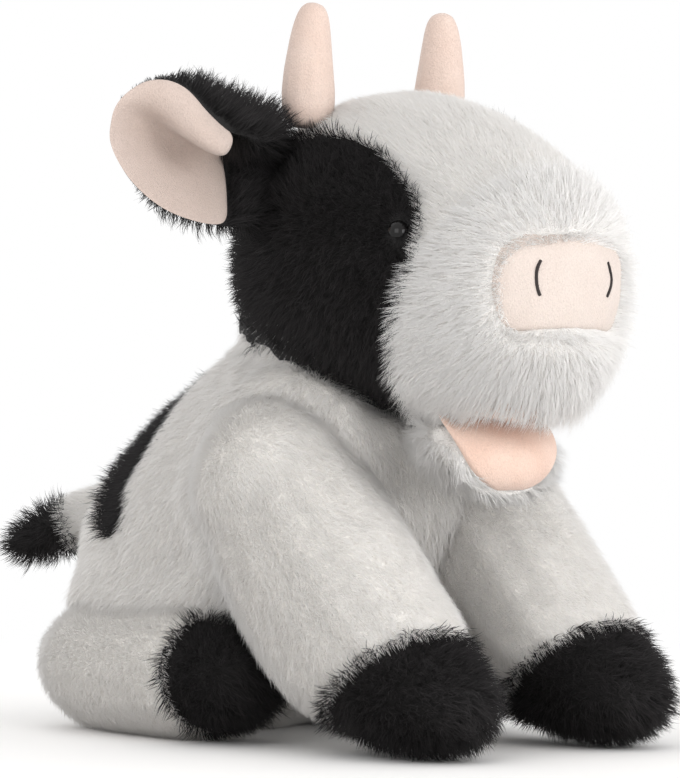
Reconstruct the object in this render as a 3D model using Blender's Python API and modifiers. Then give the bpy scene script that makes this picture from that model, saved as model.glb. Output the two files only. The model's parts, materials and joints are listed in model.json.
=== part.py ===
"""A seated plush cow: sewn plush panels over stuffing, with sprung neck, jaw, ears, legs and tail.

Units are metres and +Z is up. The cow faces -Y, so its right side is at -X. The origin is on
the floor, under the middle of the flat seat. Every soft piece is swelled along a curved middle
line, and every moving piece turns about a stuffed ball at its root.
"""

import math
from dataclasses import dataclass, replace

import bmesh
import bpy
from mathutils import Matrix, Vector
from mathutils.bvhtree import BVHTree

# Cloth and clearances
WALL = 0.006
GAP = 0.0003
FILL_GAP = 0.0007
SEAT_GAP = 0.0009
POCKET_GAP = 0.0005
OVERRUN = 0.020
WELD = 0.00003

# Trunk
BODY_WIDTH = 0.134
BODY_DEPTH = 0.147
RUMP_Y = 0.063
RUMP_SINK = 0.0135
RUMP_Z = BODY_DEPTH / 2.0 - RUMP_SINK
BELLY_Y = -0.062
BELLY_SINK = 0.0240
BELLY_Z = BODY_DEPTH / 2.0 - BELLY_SINK
NECK_TOP_Y = -0.100
NECK_TOP_Z = 0.185
BODY_RING_SHARES = (
    (0.03, 0.54, 0.54),
    (0.11, 0.84, 0.85),
    (0.30, 1.00, 1.00),
    (0.52, 1.00, 1.01),
    (0.74, 0.87, 0.82),
    (0.92, 0.60, 0.54),
)
SADDLE_LENGTH = 0.080
SADDLE_HEIGHT = 0.074
SADDLE_Y = 0.020
SADDLE_Z = 0.121
SADDLE_OUTLINE_SHARES = (
    (-0.50, 0.50),
    (-0.44, 0.10),
    (-0.32, -0.22),
    (-0.30, -0.48),
    (-0.08, -0.50),
    (0.08, -0.36),
    (0.18, -0.16),
    (0.50, 0.02),
    (0.50, 0.30),
    (0.00, 0.54),
)

# Head
HEAD_WIDTH = 0.132
HEAD_HEIGHT = 0.140
HEAD_LENGTH = 0.192
HEAD_BACK_Y = -0.035
HEAD_BACK_Z = 0.203
HEAD_NOSE_DROP = 0.035
HEAD_CROWN_RISE = 0.013
HEAD_BEND_SHARE = 0.465
HEAD_RING_SHARES = (
    (0.04, 0.48, 0.48),
    (0.14, 0.84, 0.84),
    (0.33, 1.00, 0.99),
    (0.52, 0.95, 0.99),
    (0.68, 0.845, 0.91),
    (0.84, 0.765, 0.80),
    (0.94, 0.50, 0.56),
)
MUZZLE_SEAM_Y = -0.176
MUZZLE_SEAM_Z = 0.187
MUZZLE_SEAM_TILT = math.radians(34.0)

# Black patches on the sides of the head
PATCH_LENGTH = 0.141
PATCH_HEIGHT = 0.120
PATCH_Y = -0.1095
PATCH_Z = 0.191
PATCH_INNER_X = 0.016
PATCH_OUTLINE_SHARES = (
    (-0.500, 0.192),
    (-0.365, 0.350),
    (-0.152, 0.475),
    (0.067, 0.500),
    (0.301, 0.458),
    (0.465, 0.283),
    (0.500, 0.033),
    (0.422, -0.217),
    (0.266, -0.375),
    (0.089, -0.475),
    (-0.117, -0.520),
    (-0.259, -0.450),
    (-0.415, -0.217),
    (-0.500, -0.050),
    (-0.486, 0.075),
)

# Nose patch and nostrils
NOSE_WIDTH = 0.068
NOSE_HEIGHT = 0.038
NOSE_CORNER = 0.013
NOSE_Z = 0.186
NOSE_PITCH = math.radians(14.0)
NOSE_SINK = 0.0035
NOSTRIL_SPREAD = 0.034
NOSTRIL_HEIGHT = 0.014
NOSTRIL_BOW = 0.0022
NOSTRIL_RADIUS = 0.0009
NOSTRIL_POINTS = 7

# Eyes
EYE_RADIUS = 0.0052
EYE_HALF_DEPTH = 0.0032
EYE_SINK = 0.0008
EYE_ALONG_SHARE = 0.700
EYE_TURN = math.radians(17.0)
SHANK_RADIUS = 0.0016
WASHER_RADIUS = 0.0055
WASHER_THICKNESS = 0.0016
WASHER_GAP = 0.0008
SHANK_END = 0.0010

# Mouth and lower jaw
JAW_WIDTH = 0.062
JAW_DEPTH = 0.029
JAW_HINGE_Y = -0.138
JAW_HINGE_Z = 0.140
JAW_BALL_RADIUS = 0.013
JAW_DIP_Y = -0.156
JAW_DIP_Z = 0.116
JAW_TIP_Y = -0.194
JAW_TIP_Z = 0.111
JAW_ROOT_RISE = 0.006
JAW_RING_SHARES = (
    (0.06, 0.42, 0.60),
    (0.22, 0.74, 0.86),
    (0.42, 0.96, 1.00),
    (0.62, 1.00, 1.00),
    (0.80, 0.90, 0.92),
    (0.92, 0.66, 0.66),
)
LIP_WIDTH = 0.044
LIP_LENGTH = 0.034
LIP_CORNER = 0.012
LIP_PITCH = math.radians(42.0)
LIP_THICKNESS = 0.003
LIP_BITE = 0.016
LIP_SINK = 0.001
CHIN_GAP = 0.0035
ROOF_WIDTH = 0.046
ROOF_LENGTH = 0.036
ROOF_CORNER = 0.014
ROOF_Y = -0.182
ROOF_SINK = 0.001

# Ears
EAR_LENGTH = 0.067
EAR_WIDTH = 0.062
EAR_ROOT_X = 0.0575
EAR_ROOT_Y = -0.088
EAR_ROOT_Z = 0.236
EAR_BALL_RADIUS = 0.0095
EAR_START = 0.003
EAR_BACK_THICKNESS = 0.0055
EAR_LINING_THICKNESS = 0.0025
EAR_CUP = 0.015
EAR_FOLD = 0.012
EAR_DROP = 0.006
RIGHT_EAR_LIFT = math.radians(3.0)
RIGHT_EAR_SWEEP = math.radians(4.0)
LEFT_EAR_LIFT = math.radians(-12.0)
LEFT_EAR_SWEEP = math.radians(28.0)
EAR_LINING_SHARE = 0.96
EAR_ROW_SHARES = (
    (0.00, 0.24, 0.50, 1.00),
    (0.20, 0.66, 0.95, 0.80),
    (0.46, 1.04, 1.00, 0.35),
    (0.76, 1.00, 0.60, 0.05),
    (1.00, 0.42, 0.40, 0.00),
)
EAR_ACROSS_SHARES = (-1.0, -0.45, 0.45, 1.0)

# Horns
HORN_X = 0.0345
HORN_Y = -0.093
HORN_BASE_Z = 0.251
HORN_HEIGHT = 0.053
HORN_LEAN_Y = -0.004
HORN_BOW_X = 0.003
HORN_WIDTH = 0.0245
HORN_RING_SHARES = (
    (0.04, 0.92, 0.92),
    (0.30, 0.96, 0.96),
    (0.60, 0.80, 0.80),
    (0.84, 0.62, 0.62),
    (0.95, 0.44, 0.44),
)

# Forelegs
FORELEG_WIDTH = 0.070
FORELEG_DEPTH = 0.090
SHOULDER_X = 0.051
FORELEG_X = 0.047
FORELEG_TOP_Y = -0.074
FORELEG_TOP_Z = 0.142
ELBOW_Y = -0.122
ELBOW_Z = 0.0245
TOE_Y = -0.218
TOE_Z = 0.0168
FORELEG_RING_SHARES = (
    (0.03, 0.55, 0.48),
    (0.11, 0.86, 0.74),
    (0.26, 1.00, 0.91),
    (0.46, 1.00, 1.00),
    (0.64, 0.95, 0.83),
    (0.82, 0.90, 0.61),
    (0.95, 0.60, 0.38),
)
SHOULDER_SHARE = 0.17
SHOULDER_BALL_RADIUS = 0.035
HOOF_SEAM_Y = -0.157
HOOF_SEAM_Z = 0.028
HOOF_SEAM_TILT = math.radians(51.0)

# Hind legs
HINDLEG_WIDTH = 0.062
HINDLEG_DEPTH = 0.059
HIP_X = 0.050
HIND_TOE_X = 0.062
HIP_BACK_Y = 0.054
HIND_TOE_Y = -0.102
HINDLEG_Z = 0.0280
HINDLEG_RING_SHARES = (
    (0.03, 0.50, 0.50),
    (0.13, 0.90, 0.90),
    (0.36, 1.00, 1.00),
    (0.66, 1.00, 1.00),
    (0.89, 0.88, 0.86),
    (0.98, 0.50, 0.48),
)
HIP_SHARE = 0.22
HIP_BALL_RADIUS = 0.0275
FOOT_SEAM_SHARE = 0.735

# Tail
TAIL_WIDTH = 0.033
TAIL_ROOT_Y = 0.040
TAIL_ROOT_Z = 0.094
TAIL_BEND_X = -0.003
TAIL_BEND_Y = 0.078
TAIL_BEND_Z = 0.098
TAIL_TIP_X = -0.046
TAIL_TIP_Y = 0.114
TAIL_TIP_Z = 0.070
TAIL_RING_SHARES = (
    (0.05, 0.70, 0.70),
    (0.22, 0.96, 0.96),
    (0.45, 0.88, 0.88),
    (0.62, 0.90, 0.90),
    (0.80, 0.90, 0.90),
    (0.93, 0.62, 0.62),
)
TAIL_BALL_SHARE = 0.12
TAIL_BALL_RADIUS = 0.0145
TUFT_SEAM_SHARE = 0.66

# Neck
NECK_Y = -0.077
NECK_Z = 0.160
NECK_BALL_RADIUS = 0.040
THROAT_DROP = 0.006

# Pellet bag
BAG_WIDTH = 0.052
BAG_LENGTH = 0.062
BAG_HEIGHT = 0.024
BAG_Y = 0.006
BAG_Z = 0.031

# Motion, used to carve what a moving piece passes
NOD_LIMIT = math.radians(6.0)
JAW_CLOSE_LIMIT = math.radians(3.0)
JAW_OPEN_LIMIT = math.radians(10.0)
FORELEG_LIMIT = math.radians(10.0)
HINDLEG_LIMIT = math.radians(12.0)
EAR_LIMIT = math.radians(15.0)
TAIL_LIMIT = math.radians(15.0)
SWEEP_STEPS = 2

# Smoothness
BODY_SIDES = 8
LIMB_SIDES = 6
FINE_SIDES = 6
INNER_SIDES = 6
BALL_SEGMENTS = 16
BALL_RINGS = 8
SMALL_BALL_RADIUS = 0.018
SMALL_BALL_SEGMENTS = 10
SMALL_BALL_RINGS = 6
CORNER_STEPS = 4
BAG_SEGMENTS = 12
BAG_RINGS = 6
EYE_SEGMENTS = 10
EYE_RINGS = 6
CORD_RESOLUTION = 1
OUTLINE_RESOLUTION = 2
SQUARENESS_SHARE = 1.1
FLATNESS = math.radians(3.0)
CREASE = math.radians(40.0)

WHITE_PLUSH = ("white_plush", (0.80, 0.78, 0.75), 0.95)
BLACK_PLUSH = ("black_plush", (0.016, 0.015, 0.016), 0.92)
PINK_VELOUR = ("pink_velour", (0.80, 0.63, 0.56), 0.90)
MOUTH_CLOTH = ("mouth_cloth", (0.78, 0.56, 0.48), 0.90)
THREAD = ("nostril_thread", (0.06, 0.05, 0.05), 0.75)
EYE_PLASTIC = ("eye_plastic", (0.010, 0.009, 0.009), 0.12)
WASHER_PLASTIC = ("washer_plastic", (0.70, 0.70, 0.68), 0.45)
STUFFING = ("stuffing_fibre", (0.85, 0.85, 0.83), 0.98)
BAG_CLOTH = ("bag_cloth", (0.62, 0.60, 0.55), 0.90)

AXIS_X = Vector((1.0, 0.0, 0.0))
AXIS_Y = Vector((0.0, 1.0, 0.0))
AXIS_Z = Vector((0.0, 0.0, 1.0))
RIGHT = -1
LEFT = 1


@dataclass(frozen=True)
class SoftForm:
    """A stuffed shape that swells and tapers along a curved middle line.

    ring_shares holds, for each ring, its place along the middle line, its width and its depth.
    """

    start: Vector
    bend: Vector
    end: Vector
    width: float
    depth: float
    ring_shares: tuple
    sides: int
    up: Vector = AXIS_Z
    square_to_chord: bool = False
    squareness_share: float = 1.0

    def middle(self, along):
        """Return the point of the middle line at a share of its run."""
        back = 1.0 - along
        return self.start * back * back + self.bend * 2.0 * back * along + self.end * along * along

    def heading(self, along):
        """Return the direction that the ring at this share is square to."""
        if self.square_to_chord:
            return (self.end - self.start).normalized()
        back = 1.0 - along
        return ((self.bend - self.start) * back + (self.end - self.bend) * along).normalized()

    def axes(self, along):
        """Return the directions of a ring's width and of its depth."""
        heading = self.heading(along)
        across = heading.cross(self.up).normalized()
        return across, across.cross(heading).normalized()

    def half_sizes(self, along):
        """Return half the width and half the depth at a share of the run."""
        rings = ((0.0, 0.0, 0.0),) + self.ring_shares + ((1.0, 0.0, 0.0),)
        for low, high in zip(rings, rings[1:]):
            if along <= high[0]:
                mix = (along - low[0]) / (high[0] - low[0])
                wide = low[1] + (high[1] - low[1]) * mix
                deep = low[2] + (high[2] - low[2]) * mix
                return wide * self.width / 2.0, deep * self.depth / 2.0
        return 0.0, 0.0

    def skin(self, along, turn):
        """Return the surface point at a share of the run and a turn about the middle line."""
        across, rise = self.axes(along)
        wide, deep = self.half_sizes(along)
        return self.middle(along) + across * math.cos(turn) * wide + rise * math.sin(turn) * deep

    def grown(self, amount):
        """Return this form swelled outward by an amount, or shrunk by a negative one."""
        return replace(
            self,
            start=self.start - self.heading(0.0) * amount,
            end=self.end + self.heading(1.0) * amount,
            width=self.width + 2.0 * amount,
            depth=self.depth + 2.0 * amount,
        )

    def lining(self, amount):
        """Return the plainer form that lies inside this one, an amount under its surface."""
        rings = self.ring_shares[:1] + self.ring_shares[1:-1:2] + self.ring_shares[-1:]
        return replace(self.grown(-amount), ring_shares=rings, sides=INNER_SIDES)

    def mirrored(self):
        """Return this form on the other side of the cow."""
        return replace(
            self, start=mirror_x(self.start), bend=mirror_x(self.bend), end=mirror_x(self.end)
        )


def mirror_x(point):
    """Return a point on the other side of the cow."""
    return Vector((-point.x, point.y, point.z))


def sided(x, y, z, side):
    """Return a point whose distance from the middle plane is on the side asked for."""
    return Vector((x * side, y, z))


def collection(name):
    """Return the named collection, made when it is first asked for."""
    found = bpy.data.collections.get(name)
    if found is None:
        found = bpy.data.collections.new(name)
        bpy.context.scene.collection.children.link(found)
    return found


def parts_collection():
    """Return the collection that holds the cow's pieces."""
    return collection("Plush cow")


def cutters_collection():
    """Return the collection that holds the cutters and the shapes that pieces are cut from."""
    return collection("Cutters")


def material(recipe):
    """Return the material of a recipe of name, colour and roughness."""
    name, colour, roughness = recipe
    found = bpy.data.materials.get(name)
    if found is None:
        found = bpy.data.materials.new(name)
        found.use_nodes = True
        shader = found.node_tree.nodes["Principled BSDF"]
        shader.inputs["Base Color"].default_value = (*colour, 1.0)
        shader.inputs["Roughness"].default_value = roughness
        shader.inputs["Metallic"].default_value = 0.0
        found.diffuse_color = (*colour, 1.0)
    return found


def tool_object(name, mesh):
    """Return an object for a cutter or a shape to cut from, kept out of renders."""
    tool = bpy.data.objects.new(name, mesh)
    tool.hide_render = True
    tool.display_type = "WIRE"
    cutters_collection().objects.link(tool)
    return tool


def mesh_from(name, shape):
    """Return a mesh of a bmesh shape, with its faces pointing out."""
    bmesh.ops.recalc_face_normals(shape, faces=shape.faces)
    if shape.calc_volume(signed=True) < 0.0:
        bmesh.ops.reverse_faces(shape, faces=shape.faces)
    mesh = bpy.data.meshes.new(name)
    shape.to_mesh(mesh)
    shape.free()
    return mesh


def settled_mesh(source, name):
    """Return a new mesh of an object as its modifiers leave it, in world space."""
    graph = bpy.context.evaluated_depsgraph_get()
    mesh = bpy.data.meshes.new_from_object(source.evaluated_get(graph))
    mesh.name = name
    mesh.transform(source.matrix_world)
    return mesh


def add_boolean(target, tool, operation):
    """Cut, join or intersect a target with a tool."""
    modifier = target.modifiers.new(f"{operation.lower()} {tool.name}", "BOOLEAN")
    modifier.operation = operation
    # The soft forms share planes of symmetry, where the exact solver leaves open edges.
    modifier.solver = "MANIFOLD"
    modifier.object = tool


def shaped(name, source, cuts=(), keep=(), join=()):
    """Return a new tool object: a source kept within some tools, less others, plus others."""
    result = tool_object(name, settled_mesh(source, name))
    for tool in keep:
        add_boolean(result, tool, "INTERSECT")
    for tool in cuts:
        add_boolean(result, tool, "DIFFERENCE")
    for tool in join:
        add_boolean(result, tool, "UNION")
    settled = settled_mesh(result, name)
    result.modifiers.clear()
    result.data = settled
    return result


def finish_part(name, source, recipe, origin):
    """Make a piece of the cow from a settled tool object, with its origin where it turns."""
    shape = bmesh.new()
    shape.from_mesh(source.data)
    bmesh.ops.dissolve_limit(
        shape, angle_limit=FLATNESS, verts=shape.verts, edges=shape.edges, delimit={"NORMAL"}
    )
    shape.transform(Matrix.Translation(-origin))
    mesh = bpy.data.meshes.new(name)
    shape.to_mesh(mesh)
    shape.free()
    mesh.materials.clear()
    mesh.materials.append(material(recipe))
    mesh.shade_smooth()
    mesh.set_sharp_from_angle(angle=CREASE)
    part = bpy.data.objects.new(name, mesh)
    part.location = origin
    parts_collection().objects.link(part)
    return part


def add_smoothing(target):
    """Add the one level of subdivision that turns a coarse cage into a soft form."""
    smoothing = target.modifiers.new("soft", "SUBSURF")
    smoothing.levels = 1
    smoothing.render_levels = smoothing.levels


def signed_power(value, power):
    """Return a value raised to a power, with its sign kept."""
    return math.copysign(abs(value) ** power, value)


def soft_tool(name, form):
    """Return the tool object of a soft form, a coarse cage under a subdivision."""
    shape = bmesh.new()
    spread = 1.0 / math.cos(math.pi / form.sides)
    rings = []
    for along, wide_share, deep_share in form.ring_shares:
        across, rise = form.axes(along)
        wide = across * (wide_share * form.width / 2.0 * spread)
        deep = rise * (deep_share * form.depth / 2.0 * spread)
        ring = []
        for step in range(form.sides):
            turn = 2.0 * math.pi * step / form.sides
            out = signed_power(math.cos(turn), 1.0 / form.squareness_share)
            high = signed_power(math.sin(turn), 1.0 / form.squareness_share)
            ring.append(shape.verts.new(form.middle(along) + wide * out + deep * high))
        rings.append(ring)
    poles = (shape.verts.new(form.start), shape.verts.new(form.end))
    for step in range(form.sides):
        after = (step + 1) % form.sides
        shape.faces.new((poles[0], rings[0][after], rings[0][step]))
        shape.faces.new((poles[1], rings[-1][step], rings[-1][after]))
        for low, high in zip(rings, rings[1:]):
            shape.faces.new((low[step], low[after], high[after], high[step]))
    tool = tool_object(name, mesh_from(name, shape))
    add_smoothing(tool)
    return tool


def ball_tool(name, centre, radius, axis):
    """Return a ball at a point, with its poles on the axis that it turns about."""
    small = radius < SMALL_BALL_RADIUS
    segments = SMALL_BALL_SEGMENTS if small else BALL_SEGMENTS
    rings = SMALL_BALL_RINGS if small else BALL_RINGS
    shape = bmesh.new()
    bmesh.ops.create_uvsphere(shape, u_segments=segments, v_segments=rings, radius=radius)
    shape.transform(Matrix.Translation(centre) @ axis.to_track_quat("Z", "Y").to_matrix().to_4x4())
    return tool_object(name, mesh_from(name, shape))


def box_tool(name, low, high):
    """Return a box between two corners."""
    shape = bmesh.new()
    bmesh.ops.create_cube(shape, size=1.0)
    bmesh.ops.scale(shape, vec=high - low, verts=shape.verts)
    bmesh.ops.translate(shape, vec=(low + high) / 2.0, verts=shape.verts)
    return tool_object(name, mesh_from(name, shape))


def frame_matrix(origin, across, up):
    """Return the matrix of a frame whose X runs across and whose Y runs up."""
    away = across.cross(up).normalized()
    rows = Matrix((across, up, away)).transposed().to_4x4()
    return Matrix.Translation(origin) @ rows


def prism_tool(name, points, matrix, half_depth, smooth):
    """Return a prism over a flat outline, as deep on either side of its plane."""
    curve = bpy.data.curves.new(name, "CURVE")
    curve.dimensions = "2D"
    curve.fill_mode = "BOTH"
    curve.extrude = half_depth
    curve.resolution_u = OUTLINE_RESOLUTION
    if smooth:
        spline = curve.splines.new("BEZIER")
        spline.bezier_points.add(len(points) - 1)
        for place, (x, y) in zip(spline.bezier_points, points):
            place.co = (x, y, 0.0)
            place.handle_left_type = "AUTO"
            place.handle_right_type = "AUTO"
    else:
        spline = curve.splines.new("POLY")
        spline.points.add(len(points) - 1)
        for place, (x, y) in zip(spline.points, points):
            place.co = (x, y, 0.0, 1.0)
    spline.use_cyclic_u = True
    guide = tool_object(f"{name} outline", curve)
    guide.matrix_world = matrix
    bpy.context.view_layer.update()
    mesh = settled_mesh(guide, name)
    bpy.data.objects.remove(guide)
    shape = bmesh.new()
    shape.from_mesh(mesh)
    bmesh.ops.remove_doubles(shape, verts=shape.verts, dist=WELD)
    return tool_object(name, mesh_from(name, shape))


def scaled_outline(shares, length, height):
    """Return outline points in metres from their shares of a length and a height."""
    return [(along * length, high * height) for along, high in shares]


def offset_outline(points, amount):
    """Return an outline grown outward by an amount, point by point."""
    grown = []
    count = len(points)
    area = sum(
        points[i][0] * points[(i + 1) % count][1] - points[(i + 1) % count][0] * points[i][1]
        for i in range(count)
    )
    way = math.copysign(1.0, area)
    for i, (x, y) in enumerate(points):
        before = Vector(points[i - 1])
        after = Vector(points[(i + 1) % count])
        run = (after - before).normalized()
        grown.append((x + run.y * amount * way, y - run.x * amount * way))
    return grown


def rounded_outline(width, height, corner):
    """Return the outline of a rectangle with round corners."""
    points = []
    for quarter, (side_x, side_y) in enumerate(((1, 1), (-1, 1), (-1, -1), (1, -1))):
        centre_x = side_x * (width / 2.0 - corner)
        centre_y = side_y * (height / 2.0 - corner)
        for step in range(CORNER_STEPS + 1):
            turn = math.pi / 2.0 * (quarter + step / CORNER_STEPS)
            points.append(
                (centre_x + corner * math.cos(turn), centre_y + corner * math.sin(turn))
            )
    return points


def swept(name, form, pivot, axis, low, high):
    """Return the convex tool that covers a form wherever it turns between two angles."""
    source = swelled(f"{name} still", form)
    shape = bmesh.new()
    for step in range(SWEEP_STEPS + 1):
        turn = Matrix.Rotation(low + (high - low) * step / SWEEP_STEPS, 4, axis)
        moved = Matrix.Translation(pivot) @ turn @ Matrix.Translation(-pivot)
        for corner in source.data.vertices:
            shape.verts.new(moved @ corner.co)
    hull = bmesh.ops.convex_hull(shape, input=shape.verts)
    spare = hull["geom_interior"] + hull["geom_unused"]
    inner = {item for item in spare if isinstance(item, bmesh.types.BMVert)}
    bmesh.ops.delete(shape, geom=list(inner), context="VERTS")
    return tool_object(name, mesh_from(name, shape))


def floor_tool():
    """Return the block under the floor that cuts the seat, the hooves and the feet flat."""
    reach = BODY_DEPTH + HEAD_LENGTH + OVERRUN
    return box_tool("floor", Vector((-reach, -reach, -reach)), Vector((reach, reach, 0.0)))


def body_form():
    """Return the trunk's form, from the rump up to the neck."""
    return SoftForm(
        start=Vector((0.0, RUMP_Y, RUMP_Z)),
        bend=Vector((0.0, BELLY_Y, BELLY_Z)),
        end=Vector((0.0, NECK_TOP_Y, NECK_TOP_Z)),
        width=BODY_WIDTH,
        depth=BODY_DEPTH,
        ring_shares=BODY_RING_SHARES,
        sides=BODY_SIDES,
        squareness_share=SQUARENESS_SHARE,
    )


def head_form():
    """Return the head's form, from the back of the skull to the nose."""
    start = Vector((0.0, HEAD_BACK_Y, HEAD_BACK_Z))
    forward = -AXIS_Y * HEAD_LENGTH
    return SoftForm(
        start=start,
        bend=start + forward * HEAD_BEND_SHARE + AXIS_Z * HEAD_CROWN_RISE,
        end=start + forward - AXIS_Z * HEAD_NOSE_DROP,
        width=HEAD_WIDTH,
        depth=HEAD_HEIGHT,
        ring_shares=HEAD_RING_SHARES,
        sides=BODY_SIDES,
        square_to_chord=True,
        squareness_share=SQUARENESS_SHARE,
    )


def jaw_form():
    """Return the lower jaw's form, from its hinge to the lip."""
    return SoftForm(
        start=Vector((0.0, JAW_HINGE_Y, JAW_HINGE_Z + JAW_ROOT_RISE)),
        bend=Vector((0.0, JAW_DIP_Y, JAW_DIP_Z)),
        end=Vector((0.0, JAW_TIP_Y, JAW_TIP_Z)),
        width=JAW_WIDTH,
        depth=JAW_DEPTH,
        ring_shares=JAW_RING_SHARES,
        sides=LIMB_SIDES,
    )


def foreleg_form():
    """Return the right foreleg's form, from the shoulder to the toe."""
    return SoftForm(
        start=sided(SHOULDER_X, FORELEG_TOP_Y, FORELEG_TOP_Z, RIGHT),
        bend=sided(FORELEG_X, ELBOW_Y, ELBOW_Z, RIGHT),
        end=sided(FORELEG_X, TOE_Y, TOE_Z, RIGHT),
        width=FORELEG_WIDTH,
        depth=FORELEG_DEPTH,
        ring_shares=FORELEG_RING_SHARES,
        sides=LIMB_SIDES,
        squareness_share=SQUARENESS_SHARE,
    )


def hindleg_form():
    """Return the right hind leg's form, from the hip to the toe."""
    return SoftForm(
        start=sided(HIP_X, HIP_BACK_Y, HINDLEG_Z, RIGHT),
        bend=sided((HIP_X + HIND_TOE_X) / 2.0, (HIP_BACK_Y + HIND_TOE_Y) / 2.0, HINDLEG_Z, RIGHT),
        end=sided(HIND_TOE_X, HIND_TOE_Y, HINDLEG_Z, RIGHT),
        width=HINDLEG_WIDTH,
        depth=HINDLEG_DEPTH,
        ring_shares=HINDLEG_RING_SHARES,
        sides=LIMB_SIDES,
        squareness_share=SQUARENESS_SHARE,
    )


def tail_form():
    """Return the tail's form, which the photographed toy carries to its right."""
    return SoftForm(
        start=Vector((0.0, TAIL_ROOT_Y, TAIL_ROOT_Z)),
        bend=Vector((TAIL_BEND_X, TAIL_BEND_Y, TAIL_BEND_Z)),
        end=Vector((TAIL_TIP_X, TAIL_TIP_Y, TAIL_TIP_Z)),
        width=TAIL_WIDTH,
        depth=TAIL_WIDTH,
        ring_shares=TAIL_RING_SHARES,
        sides=FINE_SIDES,
    )


def horn_form():
    """Return the right horn's form, from its base to its tip."""
    base = sided(HORN_X, HORN_Y, HORN_BASE_Z, RIGHT)
    return SoftForm(
        start=base,
        bend=base + Vector((RIGHT * HORN_BOW_X, HORN_LEAN_Y / 2.0, HORN_HEIGHT / 2.0)),
        end=base + Vector((0.0, HORN_LEAN_Y, HORN_HEIGHT)),
        width=HORN_WIDTH,
        depth=HORN_WIDTH,
        ring_shares=HORN_RING_SHARES,
        sides=FINE_SIDES,
        up=AXIS_Y,
    )


def downhill(tilt):
    """Return the direction that points forward and, by an angle, down."""
    return -AXIS_Y * math.cos(tilt) - AXIS_Z * math.sin(tilt)


def seam_box(name, centre, heading, ahead):
    """Return the block on one side of a seam, half a gap clear of the seam's plane."""
    toward = heading if ahead else -heading
    rise = toward.orthogonal().normalized()
    reach = BODY_DEPTH * 2.0
    shape = bmesh.new()
    bmesh.ops.create_cube(shape, size=1.0)
    bmesh.ops.scale(shape, vec=Vector((reach, reach, reach)), verts=shape.verts)
    rows = Matrix((rise.cross(toward), rise, toward)).transposed().to_4x4()
    shape.transform(Matrix.Translation(centre + toward * (reach + GAP) / 2.0) @ rows)
    return tool_object(name, mesh_from(name, shape))


def neck_pivot():
    """Return the point that the head nods about."""
    return Vector((0.0, NECK_Y, NECK_Z))


def jaw_pivot():
    """Return the point that the lower jaw turns about."""
    return Vector((0.0, JAW_HINGE_Y, JAW_HINGE_Z))


def ear_pivot(side):
    """Return the point that an ear flops about."""
    return sided(EAR_ROOT_X, EAR_ROOT_Y, EAR_ROOT_Z, side)


def eye_axes(side):
    """Return an eye's centre and the direction that it looks in."""
    head = head_form()
    place = head.skin(EYE_ALONG_SHARE, math.pi - EYE_TURN)
    outward = (place - head.middle(EYE_ALONG_SHARE)).normalized()
    if (place.x > 0.0) != (side > 0.0):
        place = mirror_x(place)
        outward = mirror_x(outward)
    return place - outward * EYE_SINK, outward


def nose_matrix():
    """Return the frame of the nose patch, with its Y up the patch and its Z facing out."""
    head = head_form()
    facing = -AXIS_Y * math.cos(NOSE_PITCH) + AXIS_Z * math.sin(NOSE_PITCH)
    upward = AXIS_Y * math.sin(NOSE_PITCH) + AXIS_Z * math.cos(NOSE_PITCH)
    origin = Vector((0.0, head.end.y, NOSE_Z))
    return frame_matrix(origin, upward.cross(facing).normalized(), upward)


def nostril_tool(name, side, radius, skin):
    """Return a nostril: an arc of thread on the nose patch, bowed toward the nose's edge."""
    matrix = nose_matrix()
    facing = matrix.col[2].to_3d()
    tree = BVHTree.FromObject(skin, bpy.context.evaluated_depsgraph_get())
    curve = bpy.data.curves.new(name, "CURVE")
    curve.dimensions = "3D"
    curve.bevel_depth = radius
    curve.bevel_resolution = CORD_RESOLUTION
    curve.use_fill_caps = True
    spline = curve.splines.new("POLY")
    spline.points.add(NOSTRIL_POINTS - 1)
    for index, place in enumerate(spline.points):
        share = index / (NOSTRIL_POINTS - 1) * 2.0 - 1.0
        x = side * (NOSTRIL_SPREAD / 2.0 + NOSTRIL_BOW * (1.0 - share * share))
        flat = matrix @ Vector((x, share * NOSTRIL_HEIGHT / 2.0, 0.0))
        hit = tree.ray_cast(flat + facing * HEAD_LENGTH, -facing)[0]
        place.co = (*hit, 1.0)
    guide = tool_object(f"{name} line", curve)
    mesh = settled_mesh(guide, name)
    bpy.data.objects.remove(guide)
    shape = bmesh.new()
    shape.from_mesh(mesh)
    bmesh.ops.remove_doubles(shape, verts=shape.verts, dist=WELD)
    return tool_object(name, mesh_from(name, shape))


def ear_axes(side):
    """Return the directions that an ear points in, rises in and faces in."""
    lift = RIGHT_EAR_LIFT if side == RIGHT else LEFT_EAR_LIFT
    sweep = RIGHT_EAR_SWEEP if side == RIGHT else LEFT_EAR_SWEEP
    level = AXIS_X * (side * math.cos(sweep)) + AXIS_Y * math.sin(sweep)
    outward = level * math.cos(lift) + AXIS_Z * math.sin(lift)
    upward = AXIS_Z * math.cos(lift) - level * math.sin(lift)
    return outward, upward, upward.cross(outward) * -side


def ear_point(side, row, across, share):
    """Return a point of an ear's sheet: its cup and its fold both lean to the front."""
    along, wide, cup, fold = row
    outward, upward, forward = ear_axes(side)
    reach = EAR_START + EAR_LENGTH / 2.0 + (along - 0.5) * EAR_LENGTH * share
    spread = across * share
    crease = max(0.0, spread) ** 3 * fold
    rise = spread * wide * EAR_WIDTH / 2.0 - crease * EAR_DROP
    lean = spread * spread * cup * EAR_CUP + crease * EAR_FOLD
    return ear_pivot(side) + outward * reach + upward * rise + forward * lean


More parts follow.
